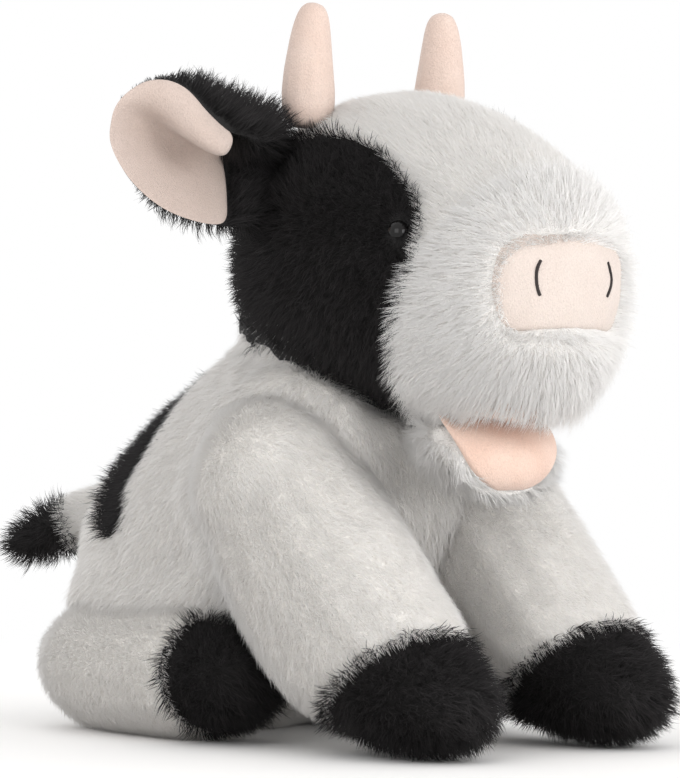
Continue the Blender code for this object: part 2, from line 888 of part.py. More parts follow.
def ear_leaf(name, side, share, thickness, in_front):
    """Return a cupped leaf of cloth, in front of the ear's sheet or behind it."""
    shape = bmesh.new()
    rows = [
        [shape.verts.new(ear_point(side, row, across, share)) for across in EAR_ACROSS_SHARES]
        for row in EAR_ROW_SHARES
    ]
    for row, after in zip(rows, rows[1:]):
        for index in range(len(row) - 1):
            shape.faces.new((row[index], row[index + 1], after[index + 1], after[index]))
    mesh = bpy.data.meshes.new(name)
    shape.to_mesh(mesh)
    shape.free()
    leaf = tool_object(name, mesh)
    cloth = leaf.modifiers.new("cloth", "SOLIDIFY")
    cloth.thickness = thickness
    cloth.offset = -side if in_front else side
    add_smoothing(leaf)
    return leaf


def swelled(name, form):
    """Return the settled tool of a soft form."""
    return shaped(name, soft_tool(f"{name} cage", form))


def eye_tool(name, side, gap):
    """Return an eye, a flattened bead on its shank, grown by a gap."""
    centre, outward = eye_axes(side)
    turn = outward.to_track_quat("Z", "Y").to_matrix().to_4x4()
    bead = bmesh.new()
    bmesh.ops.create_uvsphere(
        bead, u_segments=EYE_SEGMENTS, v_segments=EYE_RINGS, radius=EYE_RADIUS + gap
    )
    flatten = (EYE_HALF_DEPTH + gap) / (EYE_RADIUS + gap)
    bmesh.ops.scale(bead, vec=Vector((1.0, 1.0, flatten)), verts=bead.verts)
    bead_tool = tool_object(f"{name} bead", mesh_from(f"{name} bead", bead))
    shank = disc_tool(f"{name} shank", SHANK_RADIUS + gap, 0.0, shank_reach() + gap)
    whole = shaped(name, bead_tool, join=(shank,))
    whole.data.transform(Matrix.Translation(centre) @ turn)
    return whole


def shank_reach():
    """Return how far an eye's shank reaches behind the middle of its bead."""
    return WALL - EYE_SINK + WASHER_GAP + WASHER_THICKNESS + SHANK_END


def disc_tool(name, radius, front, back):
    """Return a round disc behind the origin, between two depths."""
    shape = bmesh.new()
    bmesh.ops.create_cone(
        shape,
        cap_ends=True,
        segments=EYE_SEGMENTS,
        radius1=radius,
        radius2=radius,
        depth=back - front,
        matrix=Matrix.Translation((0.0, 0.0, -(front + back) / 2.0)),
    )
    return tool_object(name, mesh_from(name, shape))


def washer_tool(name, side, gap):
    """Return the washer that locks an eye behind the wall, grown by a gap."""
    centre, outward = eye_axes(side)
    turn = outward.to_track_quat("Z", "Y").to_matrix().to_4x4()
    front = WALL - EYE_SINK + WASHER_GAP
    disc = disc_tool(name, WASHER_RADIUS + gap, front - gap, front + WASHER_THICKNESS + gap)
    disc.data.transform(Matrix.Translation(centre) @ turn)
    return disc


def patch_tool(name, side, grow):
    """Return what cuts a black patch out of one side of the head, as far as the muzzle."""
    points = offset_outline(
        scaled_outline(PATCH_OUTLINE_SHARES, PATCH_LENGTH, PATCH_HEIGHT), grow
    )
    half_depth = HEAD_WIDTH / 2.0
    origin = Vector((side * (PATCH_INNER_X - grow + half_depth), PATCH_Y, PATCH_Z))
    frame = frame_matrix(origin, AXIS_Y, AXIS_Z)
    prism = prism_tool(f"{name} prism", points, frame, half_depth, True)
    return shaped(name, prism, keep=(muzzle_box(f"{name} edge", False, grow),))


def saddle_prism(name, grow):
    """Return the prism that cuts the black saddle out of the back."""
    points = offset_outline(
        scaled_outline(SADDLE_OUTLINE_SHARES, SADDLE_LENGTH, SADDLE_HEIGHT), grow
    )
    origin = Vector((0.0, SADDLE_Y, SADDLE_Z))
    return prism_tool(name, points, frame_matrix(origin, AXIS_Y, AXIS_Z), BODY_WIDTH, True)


def nose_prism(name, grow):
    """Return the prism that cuts the nose patch out of the front of the muzzle."""
    points = rounded_outline(
        NOSE_WIDTH + 2.0 * grow, NOSE_HEIGHT + 2.0 * grow, NOSE_CORNER + grow
    )
    return prism_tool(name, points, nose_matrix(), HEAD_LENGTH / 4.0, False)


def roof_prism(name, grow):
    """Return the prism that cuts the mouth lining out of the underside of the muzzle."""
    points = rounded_outline(
        ROOF_WIDTH + 2.0 * grow, ROOF_LENGTH + 2.0 * grow, ROOF_CORNER + grow
    )
    head = head_form()
    origin = Vector((0.0, ROOF_Y, head.end.z - HEAD_HEIGHT / 2.0))
    return prism_tool(name, points, frame_matrix(origin, AXIS_X, AXIS_Y), HEAD_HEIGHT / 3.0, False)


def lip_prism(name, grow):
    """Return the prism that cuts the lip lining out of the front and top of the lower jaw."""
    points = rounded_outline(LIP_WIDTH + 2.0 * grow, LIP_LENGTH + 2.0 * grow, LIP_CORNER + grow)
    facing = -AXIS_Y * math.cos(LIP_PITCH) + AXIS_Z * math.sin(LIP_PITCH)
    upward = AXIS_Y * math.sin(LIP_PITCH) + AXIS_Z * math.cos(LIP_PITCH)
    jaw = jaw_form()
    half_depth = JAW_DEPTH
    origin = jaw.end + facing * (half_depth - LIP_BITE)
    return prism_tool(name, points, frame_matrix(origin, AXIS_X, upward), half_depth, False)


def muzzle_box(name, ahead, grow=0.0):
    """Return a block before or behind the slanting seam of the muzzle."""
    heading = downhill(MUZZLE_SEAM_TILT)
    seam = Vector((0.0, MUZZLE_SEAM_Y, MUZZLE_SEAM_Z)) + heading * grow
    return seam_box(name, seam, heading, ahead)


def throat_box(name, grow):
    """Return the block of the throat, between the black patches and before the neck."""
    wide = PATCH_INNER_X + WALL
    low = Vector((-wide, MUZZLE_SEAM_Y, MUZZLE_SEAM_Z - HEAD_HEIGHT))
    high = Vector((wide, NECK_Y, NECK_Z - THROAT_DROP))
    spare = Vector((grow, grow, grow))
    return box_tool(name, low - spare, high + spare)


def tail_ball_centre():
    """Return the point that the tail wags about."""
    return tail_form().middle(TAIL_BALL_SHARE)


def shoulder(side):
    """Return the point that a foreleg swings about."""
    place = foreleg_form().middle(SHOULDER_SHARE)
    return place if side == RIGHT else mirror_x(place)


def hip(side):
    """Return the point that a hind leg splays about."""
    place = hindleg_form().middle(HIP_SHARE)
    return place if side == RIGHT else mirror_x(place)


def on_side(form, side):
    """Return a right-hand form, or its mirror for the left."""
    return form if side == RIGHT else form.mirrored()


def roots():
    """Return the name, centre, radius and axis of each ball that is seated in the trunk."""
    seats = [("tail", tail_ball_centre(), TAIL_BALL_RADIUS, AXIS_Z)]
    for side, word in ((RIGHT, "right"), (LEFT, "left")):
        seats.append((f"foreleg {word}", shoulder(side), SHOULDER_BALL_RADIUS, AXIS_X))
        seats.append((f"hind leg {word}", hip(side), HIP_BALL_RADIUS, AXIS_Z))
    return seats


def build_trunk(floor):
    """Make the body shell, the black saddle, the body stuffing and the pellet bag."""
    body = body_form()
    head = head_form()
    pivot = neck_pivot()
    nod = (pivot, AXIS_X, -NOD_LIMIT, NOD_LIMIT)
    passing = swept("head nodding", head.grown(POCKET_GAP), *nod)
    passing_wall = swept("head nodding by wall", head.grown(POCKET_GAP + WALL), *nod)
    outer = shaped("trunk outer", soft_tool("trunk cage", body), cuts=(passing,))
    cavity = shaped("trunk cavity", swelled("trunk inner", body.lining(WALL)), cuts=(passing_wall,))
    ball = ball_tool("neck ball", pivot, NECK_BALL_RADIUS, AXIS_X)
    hollow = shaped("trunk hollow", outer, cuts=(cavity,), join=(ball,))
    sockets = [
        ball_tool(f"{name} socket", centre, radius + SEAT_GAP, axis)
        for name, centre, radius, axis in roots()
    ]
    wall = shaped("trunk wall", hollow, cuts=(floor, *sockets))
    shell = shaped("body cut", wall, cuts=(saddle_prism("saddle gap", GAP),))
    saddle = shaped("saddle cut", wall, keep=(saddle_prism("saddle", 0.0),))
    origin = Vector((0.0, 0.0, 0.0))
    finish_part("body_shell", shell, WHITE_PLUSH, origin)
    finish_part("back_patch", saddle, BLACK_PLUSH, origin)
    roof = swept("head nodding by fill", head.grown(POCKET_GAP + WALL + FILL_GAP), *nod)
    hollows = [ball_tool("neck hollow", pivot, NECK_BALL_RADIUS + SEAT_GAP, AXIS_X)]
    for name, centre, radius, axis in roots():
        hollows.append(ball_tool(f"{name} hollow", centre, radius + SEAT_GAP, axis))
    pocket = bag_tool("bag pocket", POCKET_GAP, True)
    fill = swelled("body fill", body.lining(WALL + FILL_GAP))
    stuffing = shaped("body stuffed", fill, cuts=(roof, *hollows, pocket))
    finish_part("body_stuffing", stuffing, STUFFING, origin)
    finish_part("pellet_bag", bag_tool("bag", 0.0, False), BAG_CLOTH, origin)


def bag_tool(name, grow, open_below):
    """Return the pellet bag, or the pocket for it, which is open below."""
    shape = bmesh.new()
    bmesh.ops.create_uvsphere(
        shape, u_segments=BAG_SEGMENTS, v_segments=BAG_RINGS, radius=1.0
    )
    half = Vector((BAG_WIDTH / 2.0 + grow, BAG_LENGTH / 2.0 + grow, BAG_HEIGHT / 2.0 + grow))
    bmesh.ops.scale(shape, vec=half, verts=shape.verts)
    centre = Vector((0.0, BAG_Y, BAG_Z))
    bmesh.ops.translate(shape, vec=centre, verts=shape.verts)
    whole = tool_object(name, mesh_from(name, shape))
    if not open_below:
        return whole
    mouth = bmesh.new()
    bmesh.ops.create_cone(
        mouth,
        cap_ends=True,
        segments=BAG_SEGMENTS,
        radius1=1.0,
        radius2=1.0,
        depth=1.0,
    )
    bmesh.ops.scale(mouth, vec=Vector((half.x, half.y, OVERRUN)), verts=mouth.verts)
    low = centre - AXIS_Z * OVERRUN / 2.0
    bmesh.ops.translate(mouth, vec=low, verts=mouth.verts)
    opening = tool_object(f"{name} mouth", mesh_from(f"{name} mouth", mouth))
    return shaped(f"{name} open", whole, join=(opening,))


def build_head():
    """Make the head's panels, its stuffing, the nose, the eyes, the horns and the mouth lining."""
    head = head_form()
    pivot = neck_pivot()
    cavity = swelled("head cavity", head.lining(WALL))
    fill = swelled("head fill", head.lining(WALL + FILL_GAP))
    wall_cuts = [cavity]
    fill_cuts = []
    for name, centre, radius in (
        ("neck", pivot, NECK_BALL_RADIUS + SEAT_GAP),
        ("jaw", jaw_pivot(), JAW_BALL_RADIUS + SEAT_GAP),
    ):
        wall_cuts.append(ball_tool(f"{name} socket", centre, radius, AXIS_X))
        fill_cuts.append(ball_tool(f"{name} room", centre, radius + GAP, AXIS_X))
    for side, word in ((RIGHT, "right"), (LEFT, "left")):
        wall_cuts += build_head_side(side, word, pivot, fill_cuts)
    wall = shaped("head wall", soft_tool("head cage", head), cuts=wall_cuts)
    for side, word in ((RIGHT, "right"), (LEFT, "left")):
        panel = shaped(f"patch {word}", wall, keep=(patch_tool(f"patch side {word}", side, 0.0),))
        finish_part(f"head_patch_{word}", panel, BLACK_PLUSH, pivot)
    gaps = [patch_tool("right patch gap", RIGHT, GAP), patch_tool("left patch gap", LEFT, GAP)]
    rest = shaped("head rest", wall, cuts=gaps)
    behind = muzzle_box("behind muzzle", False)
    crown = shaped("crown", rest, keep=(behind,), cuts=(throat_box("throat gap", GAP / 2.0),))
    ahead = shaped(
        "muzzle side", muzzle_box("ahead of seam", True), join=(throat_box("throat", -GAP / 2.0),)
    )
    front_cuts = (nose_prism("nose gap", GAP), roof_prism("roof gap", GAP))
    front = shaped("front", rest, keep=(ahead,), cuts=front_cuts)
    finish_part("head_shell", crown, WHITE_PLUSH, pivot)
    finish_part("muzzle", front, WHITE_PLUSH, pivot)
    build_nose(head, cavity, pivot)
    stuffed = shaped("head stuffed", fill, cuts=fill_cuts)
    finish_part("head_stuffing", stuffed, STUFFING, pivot)


def build_head_side(side, word, pivot, fill_cuts):
    """Make one eye with its washer and one horn, and return what they cut from the wall."""
    eye = eye_tool(f"eye {word}", side, 0.0)
    eye_pocket = eye_tool(f"eye pocket {word}", side, GAP)
    washer = shaped(f"washer {word}", washer_tool(f"disc {word}", side, 0.0), cuts=(eye_pocket,))
    finish_part(f"eye_{word}", eye, EYE_PLASTIC, pivot)
    finish_part(f"eye_washer_{word}", washer, WASHER_PLASTIC, pivot)
    horn = swelled(f"horn {word}", on_side(horn_form(), side))
    horn_pocket = swelled(f"horn pocket {word}", on_side(horn_form().grown(GAP), side))
    finish_part(f"horn_{word}", horn, PINK_VELOUR, pivot)
    radius = EAR_BALL_RADIUS + SEAT_GAP
    socket = ball_tool(f"ear socket {word}", ear_pivot(side), radius, AXIS_Y)
    room = ball_tool(f"ear room {word}", ear_pivot(side), radius + GAP, AXIS_Y)
    washer_room = washer_tool(f"disc room {word}", side, GAP)
    fill_cuts += [room, horn_pocket, eye_pocket, washer_room]
    return [eye_pocket, horn_pocket, socket, washer_room]


def build_nose(head, cavity, pivot):
    """Make the nose patch with its two stitched nostrils, and the lining of the mouth's roof."""
    sunk = swelled("nose skin", head.grown(-NOSE_SINK))
    grooves = []
    for side, word in ((RIGHT, "right"), (LEFT, "left")):
        nostril = nostril_tool(f"nostril {word}", side, NOSTRIL_RADIUS, sunk)
        grooves.append(nostril_tool(f"nostril groove {word}", side, NOSTRIL_RADIUS + GAP, sunk))
        finish_part(f"nostril_{word}", nostril, THREAD, pivot)
    nose = shaped("nose", sunk, keep=(nose_prism("nose", 0.0),), cuts=(cavity, *grooves))
    finish_part("nose_patch", nose, PINK_VELOUR, pivot)
    roof_skin = swelled("roof skin", head.grown(-ROOF_SINK))
    roof = shaped("roof", roof_skin, keep=(roof_prism("roof", 0.0),), cuts=(cavity,))
    finish_part("mouth_lining", roof, MOUTH_CLOTH, pivot)


def build_jaw():
    """Make the lower jaw, cut by the head that it closes on, and its pink lip lining."""
    jaw = jaw_form()
    pivot = jaw_pivot()
    closing = swept(
        "head closing", head_form().grown(POCKET_GAP), pivot, AXIS_X,
        -JAW_OPEN_LIMIT, JAW_CLOSE_LIMIT
    )
    chest = swept(
        "chest by chin", body_form().grown(CHIN_GAP), neck_pivot(), AXIS_X, -NOD_LIMIT, NOD_LIMIT
    )
    ball = ball_tool("jaw ball", pivot, JAW_BALL_RADIUS, AXIS_X)
    cage = soft_tool("jaw cage", jaw)
    carved = shaped("jaw carved", cage, cuts=(closing,), join=(ball,))
    core = swelled("jaw core", jaw.grown(-LIP_THICKNESS - GAP))
    pocket = shaped("lip pocket", lip_prism("lip gap", GAP), cuts=(core,))
    skin = swelled("lip skin", jaw.grown(-LIP_SINK))
    inner = swelled("lip inner", jaw.grown(-LIP_THICKNESS))
    lip = shaped("lip", skin, keep=(lip_prism("lip", 0.0),), cuts=(inner, closing))
    finish_part("lower_jaw", shaped("chin", carved, cuts=(pocket, chest)), WHITE_PLUSH, pivot)
    finish_part("lip_lining", lip, MOUTH_CLOTH, pivot)


def build_ears():
    """Make both ears: a plush back on a stuffed root, and a velour lining in its hollow."""
    for side, word in ((RIGHT, "right"), (LEFT, "left")):
        pivot = ear_pivot(side)
        flops = swept(
            f"head by ear {word}", head_form().grown(POCKET_GAP), pivot, AXIS_Y,
            -EAR_LIMIT, EAR_LIMIT
        )
        back = ear_leaf(f"ear leaf {word}", side, 1.0, EAR_BACK_THICKNESS, False)
        pink = ear_leaf(f"ear pink {word}", side, EAR_LINING_SHARE, EAR_LINING_THICKNESS, True)
        room = ear_leaf(f"ear room {word}", side, 1.0, EAR_BACK_THICKNESS, False)
        room.location = ear_axes(side)[2] * FILL_GAP
        bpy.context.view_layer.update()
        ball = ball_tool(f"ear ball {word}", pivot, EAR_BALL_RADIUS, AXIS_Y)
        pocket = ball_tool(f"ear ball pocket {word}", pivot, EAR_BALL_RADIUS + GAP, AXIS_Y)
        plush = shaped(f"ear plush {word}", back, cuts=(flops,), join=(ball,))
        velour = shaped(f"ear velour {word}", pink, cuts=(flops, pocket, room))
        finish_part(f"ear_back_{word}", plush, BLACK_PLUSH, pivot)
        finish_part(f"ear_lining_{word}", velour, PINK_VELOUR, pivot)


def build_limb(names, form, seam, root_ball, carvings, floor):
    """Make a limb: its sleeve on a stuffed root, its dark end and its stuffing."""
    sleeve_name, end_name, fill_name = names
    outside, inside, filling = zip(*carvings)
    pivot, radius, axis = root_ball
    root = ball_tool(f"{sleeve_name} root", pivot, radius, axis)
    inner = swelled(f"{sleeve_name} inner", form.lining(WALL))
    core = swelled(f"{sleeve_name} core", form.lining(WALL + FILL_GAP))
    room = ball_tool(f"{sleeve_name} root room", pivot, radius + FILL_GAP, axis)
    hollow = shaped(f"{sleeve_name} hollow", inner, cuts=(*inside, root))
    fill = shaped(f"{sleeve_name} fill", core, cuts=(*filling, room))
    whole = shaped(
        f"{sleeve_name} whole", soft_tool(f"{sleeve_name} cage", form), cuts=outside, join=(root,)
    )
    wall = shaped(f"{sleeve_name} wall", whole, cuts=(floor, hollow))
    behind = seam_box(f"{sleeve_name} behind", *seam, False)
    ahead = seam_box(f"{sleeve_name} ahead", *seam, True)
    sleeve = shaped(f"{sleeve_name} sleeve", wall, keep=(behind,))
    end = shaped(f"{sleeve_name} end", wall, keep=(ahead,))
    finish_part(sleeve_name, sleeve, WHITE_PLUSH, pivot)
    finish_part(end_name, end, BLACK_PLUSH, pivot)
    finish_part(fill_name, fill, STUFFING, pivot)


def carving(name, form, pivot, axis, high):
    """Return what a form cuts from a limb that turns past it, its hollow and its stuffing."""
    depths = (POCKET_GAP, POCKET_GAP + WALL, POCKET_GAP + WALL + FILL_GAP)
    return [swept(f"{name} {i}", form.grown(d), pivot, axis, 0.0, high) for i, d in enumerate(depths)]


def build_legs(floor):
    """Make the four legs, each cut by the trunk that it passes."""
    body = body_form()
    for side, word in ((RIGHT, "right"), (LEFT, "left")):
        fore = on_side(foreleg_form(), side)
        hind = on_side(hindleg_form(), side)
        socket = shoulder(side)
        trunk = carving(f"trunk by foreleg {word}", body, socket, AXIS_X, FORELEG_LIMIT)
        build_limb(
            (f"foreleg_{word}", f"front_hoof_{word}", f"foreleg_stuffing_{word}"),
            fore,
            (sided(FORELEG_X, HOOF_SEAM_Y, HOOF_SEAM_Z, side), downhill(HOOF_SEAM_TILT)),
            (socket, SHOULDER_BALL_RADIUS, AXIS_X),
            (trunk,),
            floor,
        )
        socket = hip(side)
        splay = -side * HINDLEG_LIMIT
        trunk = carving(f"trunk by hind leg {word}", body, socket, AXIS_Z, splay)
        leg = carving(f"foreleg by foot {word}", fore, socket, AXIS_Z, splay)
        build_limb(
            (f"hind_leg_{word}", f"hind_foot_{word}", f"hind_leg_stuffing_{word}"),
            hind,
            (hind.middle(FOOT_SEAM_SHARE), hind.heading(FOOT_SEAM_SHARE)),
            (socket, HIP_BALL_RADIUS, AXIS_Z),
            (trunk, leg),
            floor,
        )


def build_tail():
    """Make the tail, a white root with a stuffed ball and a black tuft."""
    form = tail_form()
    pivot = tail_ball_centre()
    wags = swept(
        "trunk by tail", body_form().grown(POCKET_GAP), pivot, AXIS_Z, -TAIL_LIMIT, TAIL_LIMIT
    )
    ball = ball_tool("tail ball", pivot, TAIL_BALL_RADIUS, AXIS_Z)
    whole = shaped("tail whole", soft_tool("tail cage", form), cuts=(wags,), join=(ball,))
    seam = (form.middle(TUFT_SEAM_SHARE), form.heading(TUFT_SEAM_SHARE))
    behind = seam_box("tail behind", *seam, False)
    ahead = seam_box("tail ahead", *seam, True)
    finish_part("tail", shaped("tail root", whole, keep=(behind,)), WHITE_PLUSH, pivot)
    finish_part("tail_tuft", shaped("tail end", whole, keep=(ahead,)), BLACK_PLUSH, pivot)


def main():
    """Build the whole cow."""
    for old in list(bpy.data.objects):
        bpy.data.objects.remove(old)
    floor = floor_tool()
    build_trunk(floor)
    build_head()
    build_jaw()
    build_ears()
    build_legs(floor)
    build_tail()


main()
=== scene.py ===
"""The looks of a seated plush cow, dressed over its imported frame.

Units are metres, +Z is up and the cow faces -Y, so its right side is at -X. Each sub-assembly is a
class that turns its frame solids into rounded cloth skins and grows the pile that stands on them.
The pile is real: each strand is a flat ribbon that tapers to a point, brushed the way of its panel
and drawn into locks with its neighbours.
"""

from __future__ import annotations

import json
import logging
import math
from dataclasses import dataclass, field, replace
from enum import Enum
from functools import partial
from typing import Callable, Iterable, Sequence

import bmesh
import bpy
import numpy as np
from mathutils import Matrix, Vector
from mathutils.bvhtree import BVHTree
from mathutils.kdtree import KDTree

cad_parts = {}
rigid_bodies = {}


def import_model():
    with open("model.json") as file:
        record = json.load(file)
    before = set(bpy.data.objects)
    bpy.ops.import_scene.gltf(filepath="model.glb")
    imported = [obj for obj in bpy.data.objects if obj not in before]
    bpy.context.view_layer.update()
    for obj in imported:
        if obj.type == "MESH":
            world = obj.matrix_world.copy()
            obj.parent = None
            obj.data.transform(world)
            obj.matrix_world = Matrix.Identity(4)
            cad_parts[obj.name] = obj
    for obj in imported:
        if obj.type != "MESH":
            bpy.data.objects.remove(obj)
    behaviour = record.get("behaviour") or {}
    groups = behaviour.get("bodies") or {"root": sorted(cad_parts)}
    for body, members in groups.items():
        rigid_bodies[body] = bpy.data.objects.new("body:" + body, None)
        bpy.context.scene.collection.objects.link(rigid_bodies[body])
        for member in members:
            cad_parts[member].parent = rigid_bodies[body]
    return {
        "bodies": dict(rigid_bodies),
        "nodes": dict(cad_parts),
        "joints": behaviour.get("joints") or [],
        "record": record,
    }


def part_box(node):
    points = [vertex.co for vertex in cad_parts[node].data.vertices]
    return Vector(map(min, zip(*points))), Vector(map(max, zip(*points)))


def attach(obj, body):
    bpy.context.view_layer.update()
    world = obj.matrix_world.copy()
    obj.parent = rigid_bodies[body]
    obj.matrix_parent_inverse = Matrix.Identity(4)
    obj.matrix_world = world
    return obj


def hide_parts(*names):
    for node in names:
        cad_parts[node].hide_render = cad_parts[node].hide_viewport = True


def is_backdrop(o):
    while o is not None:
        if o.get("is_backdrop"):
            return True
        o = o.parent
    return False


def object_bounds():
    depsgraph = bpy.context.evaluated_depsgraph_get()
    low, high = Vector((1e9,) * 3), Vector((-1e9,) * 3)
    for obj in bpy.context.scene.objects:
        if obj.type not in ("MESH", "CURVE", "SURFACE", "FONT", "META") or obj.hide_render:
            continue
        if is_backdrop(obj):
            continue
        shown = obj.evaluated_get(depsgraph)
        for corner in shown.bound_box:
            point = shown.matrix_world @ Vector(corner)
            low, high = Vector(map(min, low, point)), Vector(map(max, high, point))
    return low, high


LOG = logging.getLogger("plush_cow")
SEED = 400
TINY = 1e-12

# The map that a strand's shade is read from has a column for each shade, clear of the next one.
STRAND_MAP = "OFBake"
STRAND_COLUMNS = 48
STRAND_MARGIN = 0.12
STRAND_END = 0.01
SKIN_SHADE = 0.92
FACE_LIMIT = 190000

# A line is followed through a surface in steps, along ways that no flat part of the cow shares.
STEP_PAST = 0.00002
MOST_CROSSINGS = 12
PROBES = (Vector((0.31, 0.87, 0.38)), Vector((-0.74, -0.21, 0.64)), Vector((0.12, -0.55, -0.83)))

# A smooth field is a sum of waves. The pile strays along such a field.
WAVE_COUNT = 7
WAVE_RATES = (0.6, 1.5)
WAVE_HEIGHT = 1.4
DRIFT_SIZE = 0.045
DRIFT_SEED = 11

# Rounds of smoothing, and how much of a round the next one gives back to keep the size.
SMOOTHING = 22
SMOOTHING_BACK = 0.96
SEAM_ROUNDS = 14
FILLET_ROUNDS = 4

# How the skins lie under the nodes' surfaces and meet each other, in metres.
FLOOR_CLEARANCE = 0.0004
FLOOR_REACH = 3.0 * FLOOR_CLEARANCE
NEAR = 0.05
BARE_INSET = 0.0020
EYE_BED = 0.0010
BURIED = 0.0015
TUCK = 0.0024
FILLET = 0.0055
FILLET_REACH = 0.018
CREEP_REACH = (0.002, 0.014)
CLOTH_THICKNESS = 0.0012

# How far inside a panel a point counts as lying, and how long the pile is at an eye's bead.
BORDER_SHARE = 0.8
EYE_PILE = 0.35

Array = np.ndarray
Place = tuple[float, float, float]
Colour = tuple[float, float, float]
Range = tuple[float, float]
Comb = Callable[[Array, Array], Array]
Move = Callable[[Array], Array]
Piece = bpy.types.Object
Material = bpy.types.Material
Tree = bpy.types.NodeTree
Node = bpy.types.Node
Socket = bpy.types.NodeSocket


class Side(Enum):
    """The two sides of the cow, with the sign of their X."""

    RIGHT = -1.0
    LEFT = 1.0

    @property
    def word(self) -> str:
        """The side's name as the nodes spell it."""
        return self.name.lower()


class Slot(Enum):
    """The material slots of the record."""

    WHITE = "white_plush"
    BLACK = "black_plush"
    PINK = "pink_velour"
    MOUTH = "mouth_cloth"
    THREAD = "nostril_thread"
    EYE = "eye_plastic"
    WASHER = "washer_plastic"
    STUFFING = "stuffing_fibre"
    BAG = "bag_cloth"


def unit(vectors: Array) -> Array:
    """Return vectors scaled to a length of one.

    Args:
        vectors: rows of three numbers.
    Returns:
        The rows, each of length one.
    """
    return vectors / np.maximum(np.linalg.norm(vectors, axis=-1, keepdims=True), TINY)


def smooth_step(values: Array, low: float, high: float) -> Array:
    """Return 0 below a low value, 1 above a high one, and a smooth rise between them.

    Args:
        values: the numbers to map.
        low: where the rise starts.
        high: where the rise ends.
    Returns:
        The mapped numbers.
    """
    share = np.clip((values - low) / (high - low), 0.0, 1.0)
    return share * share * (3.0 - 2.0 * share)


def waves(points: Array, scale: float, seed: int) -> Array:
    """Return a smooth field of about -1 to 1 that wanders over a length.

    Args:
        points: rows of places.
        scale: the length over which the field changes, in metres.
        seed: which field of its kind.
    Returns:
        One number for each place.
    """
    draw = np.random.default_rng(seed)
    total = np.zeros(len(points))
    for _ in range(WAVE_COUNT):
        way = unit(draw.normal(size=3)) * draw.uniform(*WAVE_RATES) * 2.0 * math.pi / scale
        total += np.sin(points @ way + draw.uniform(0.0, 2.0 * math.pi))
    return total / math.sqrt(WAVE_COUNT) / WAVE_HEIGHT


def summed(keys: Array, rows: Array, count: int) -> Array:
    """Return the sums of the rows that share a key, for each key up to a count."""
    return np.stack([np.bincount(keys, column, minlength=count) for column in rows.T], axis=1)


def above_floor(points: Array) -> None:
    """Lift the points that lie too low to just above the floor."""
    points[..., 2] = np.maximum(points[..., 2], FLOOR_CLEARANCE)


def mirrored(place: Place, side: Side) -> Place:
    """Return a place of the left side on the side asked for."""
    return (side.value * place[0], *place[1:])


def crossings(tree: BVHTree, place: Vector, way: Vector) -> int:
    """Return how often a line from a place crosses a surface.

    Args:
        tree: the surface's search tree.
        place: where the line starts.
        way: the way that it goes.
    Returns:
        The number of crossings.
    """
    count = 0
    spot = tree.ray_cast(place, way)[0]
    while spot is not None and count < MOST_CROSSINGS:
        count += 1
        spot = tree.ray_cast(spot + way * STEP_PAST, way)[0]
    return count


def nearest_gaps(tree: BVHTree, places: Array) -> Array:
    """Return the distance from each place to a surface."""
    return np.fromiter((tree.find_nearest(Vector(place))[3] for place in places), float, len(places))


@dataclass
class Form:
    """A closed surface of four-sided faces, held as arrays."""

    points: Array
    quads: Array

    def edges(self) -> Array:
        """Return each edge's two corners, once for each face that has it."""
        after = np.roll(self.quads, -1, axis=1)
        return np.stack((self.quads.ravel(), after.ravel()), axis=1)

    def normals(self) -> Array:
        """Return the outward direction at each point."""
        corner = self.points[self.quads]
        flat = np.cross(corner[:, 2] - corner[:, 0], corner[:, 3] - corner[:, 1])
        total = np.zeros_like(self.points)
        for index in range(4):
            total += summed(self.quads[:, index], flat, len(self.points))
        return unit(total)

    def rounded(self, rounds: int, pull: float = 0.6) -> "Form":
        """Return the form with its facets smoothed away and its size kept.

        Args:
            rounds: how often each point moves to the middle of its neighbours.
            pull: the share of the way that it moves.
        Returns:
            The smoothed form.
        """
        points = self.points.copy()
        edges = self.edges()
        count = np.bincount(edges[:, 0], minlength=len(points))[:, None]
        for _ in range(rounds):
            for share in (pull, -pull * SMOOTHING_BACK):
                middle = summed(edges[:, 0], points[edges[:, 1]], len(points)) / count
                points += (middle - points) * share
        return Form(points, self.quads)

    def evened(self, values: Array, rounds: int) -> Array:
        """Return a field over the points, evened out with its neighbours."""
        edges = self.edges()
        count = np.bincount(edges[:, 0], minlength=len(values))
        for _ in range(rounds):
            values = np.bincount(edges[:, 0], values[edges[:, 1]], minlength=len(values)) / count
        return values

    def moved_in(self, depth: Array) -> "Form":
        """Return the form with each point moved inward by its own depth."""
        return Form(self.points - self.normals() * depth[:, None], self.quads)

    def tree(self) -> BVHTree:
        """Return the search tree of the surface."""
        return BVHTree.FromPolygons(self.points.tolist(), self.quads.tolist())

    def distances(self, places: Array) -> Array:
        """Return how far places lie outside the surface, negative where they lie inside.

        Args:
            places: rows of places.
        Returns:
            One signed distance for each place.
        """
        tree = self.tree()
        found = np.empty(len(places))
        for index, place in enumerate(places):
            spot = Vector(place)
            votes = sum(crossings(tree, spot, way) % 2 for way in PROBES)
            found[index] = tree.find_nearest(spot)[3] * (-1.0 if votes > 1 else 1.0)
        return found


@dataclass(frozen=True)
class Pile:
    """How one kind of plush stands, in metres and shares.

    length and spread give a strand's length, width its ribbon's width at the root, lean how far it
    lies over at the root and droop at the tip, wander how much its way strays, lock the size of a
    lock and pull how far the strands of one are drawn together, density the strands a square metre,
    and joints how often a strand bends on its way to the tip.
    """

    length: float
    spread: float
    width: float
    lean: float
    droop: float
    wander: float
    lock: float
    pull: float
    density: float
    joints: int = 1


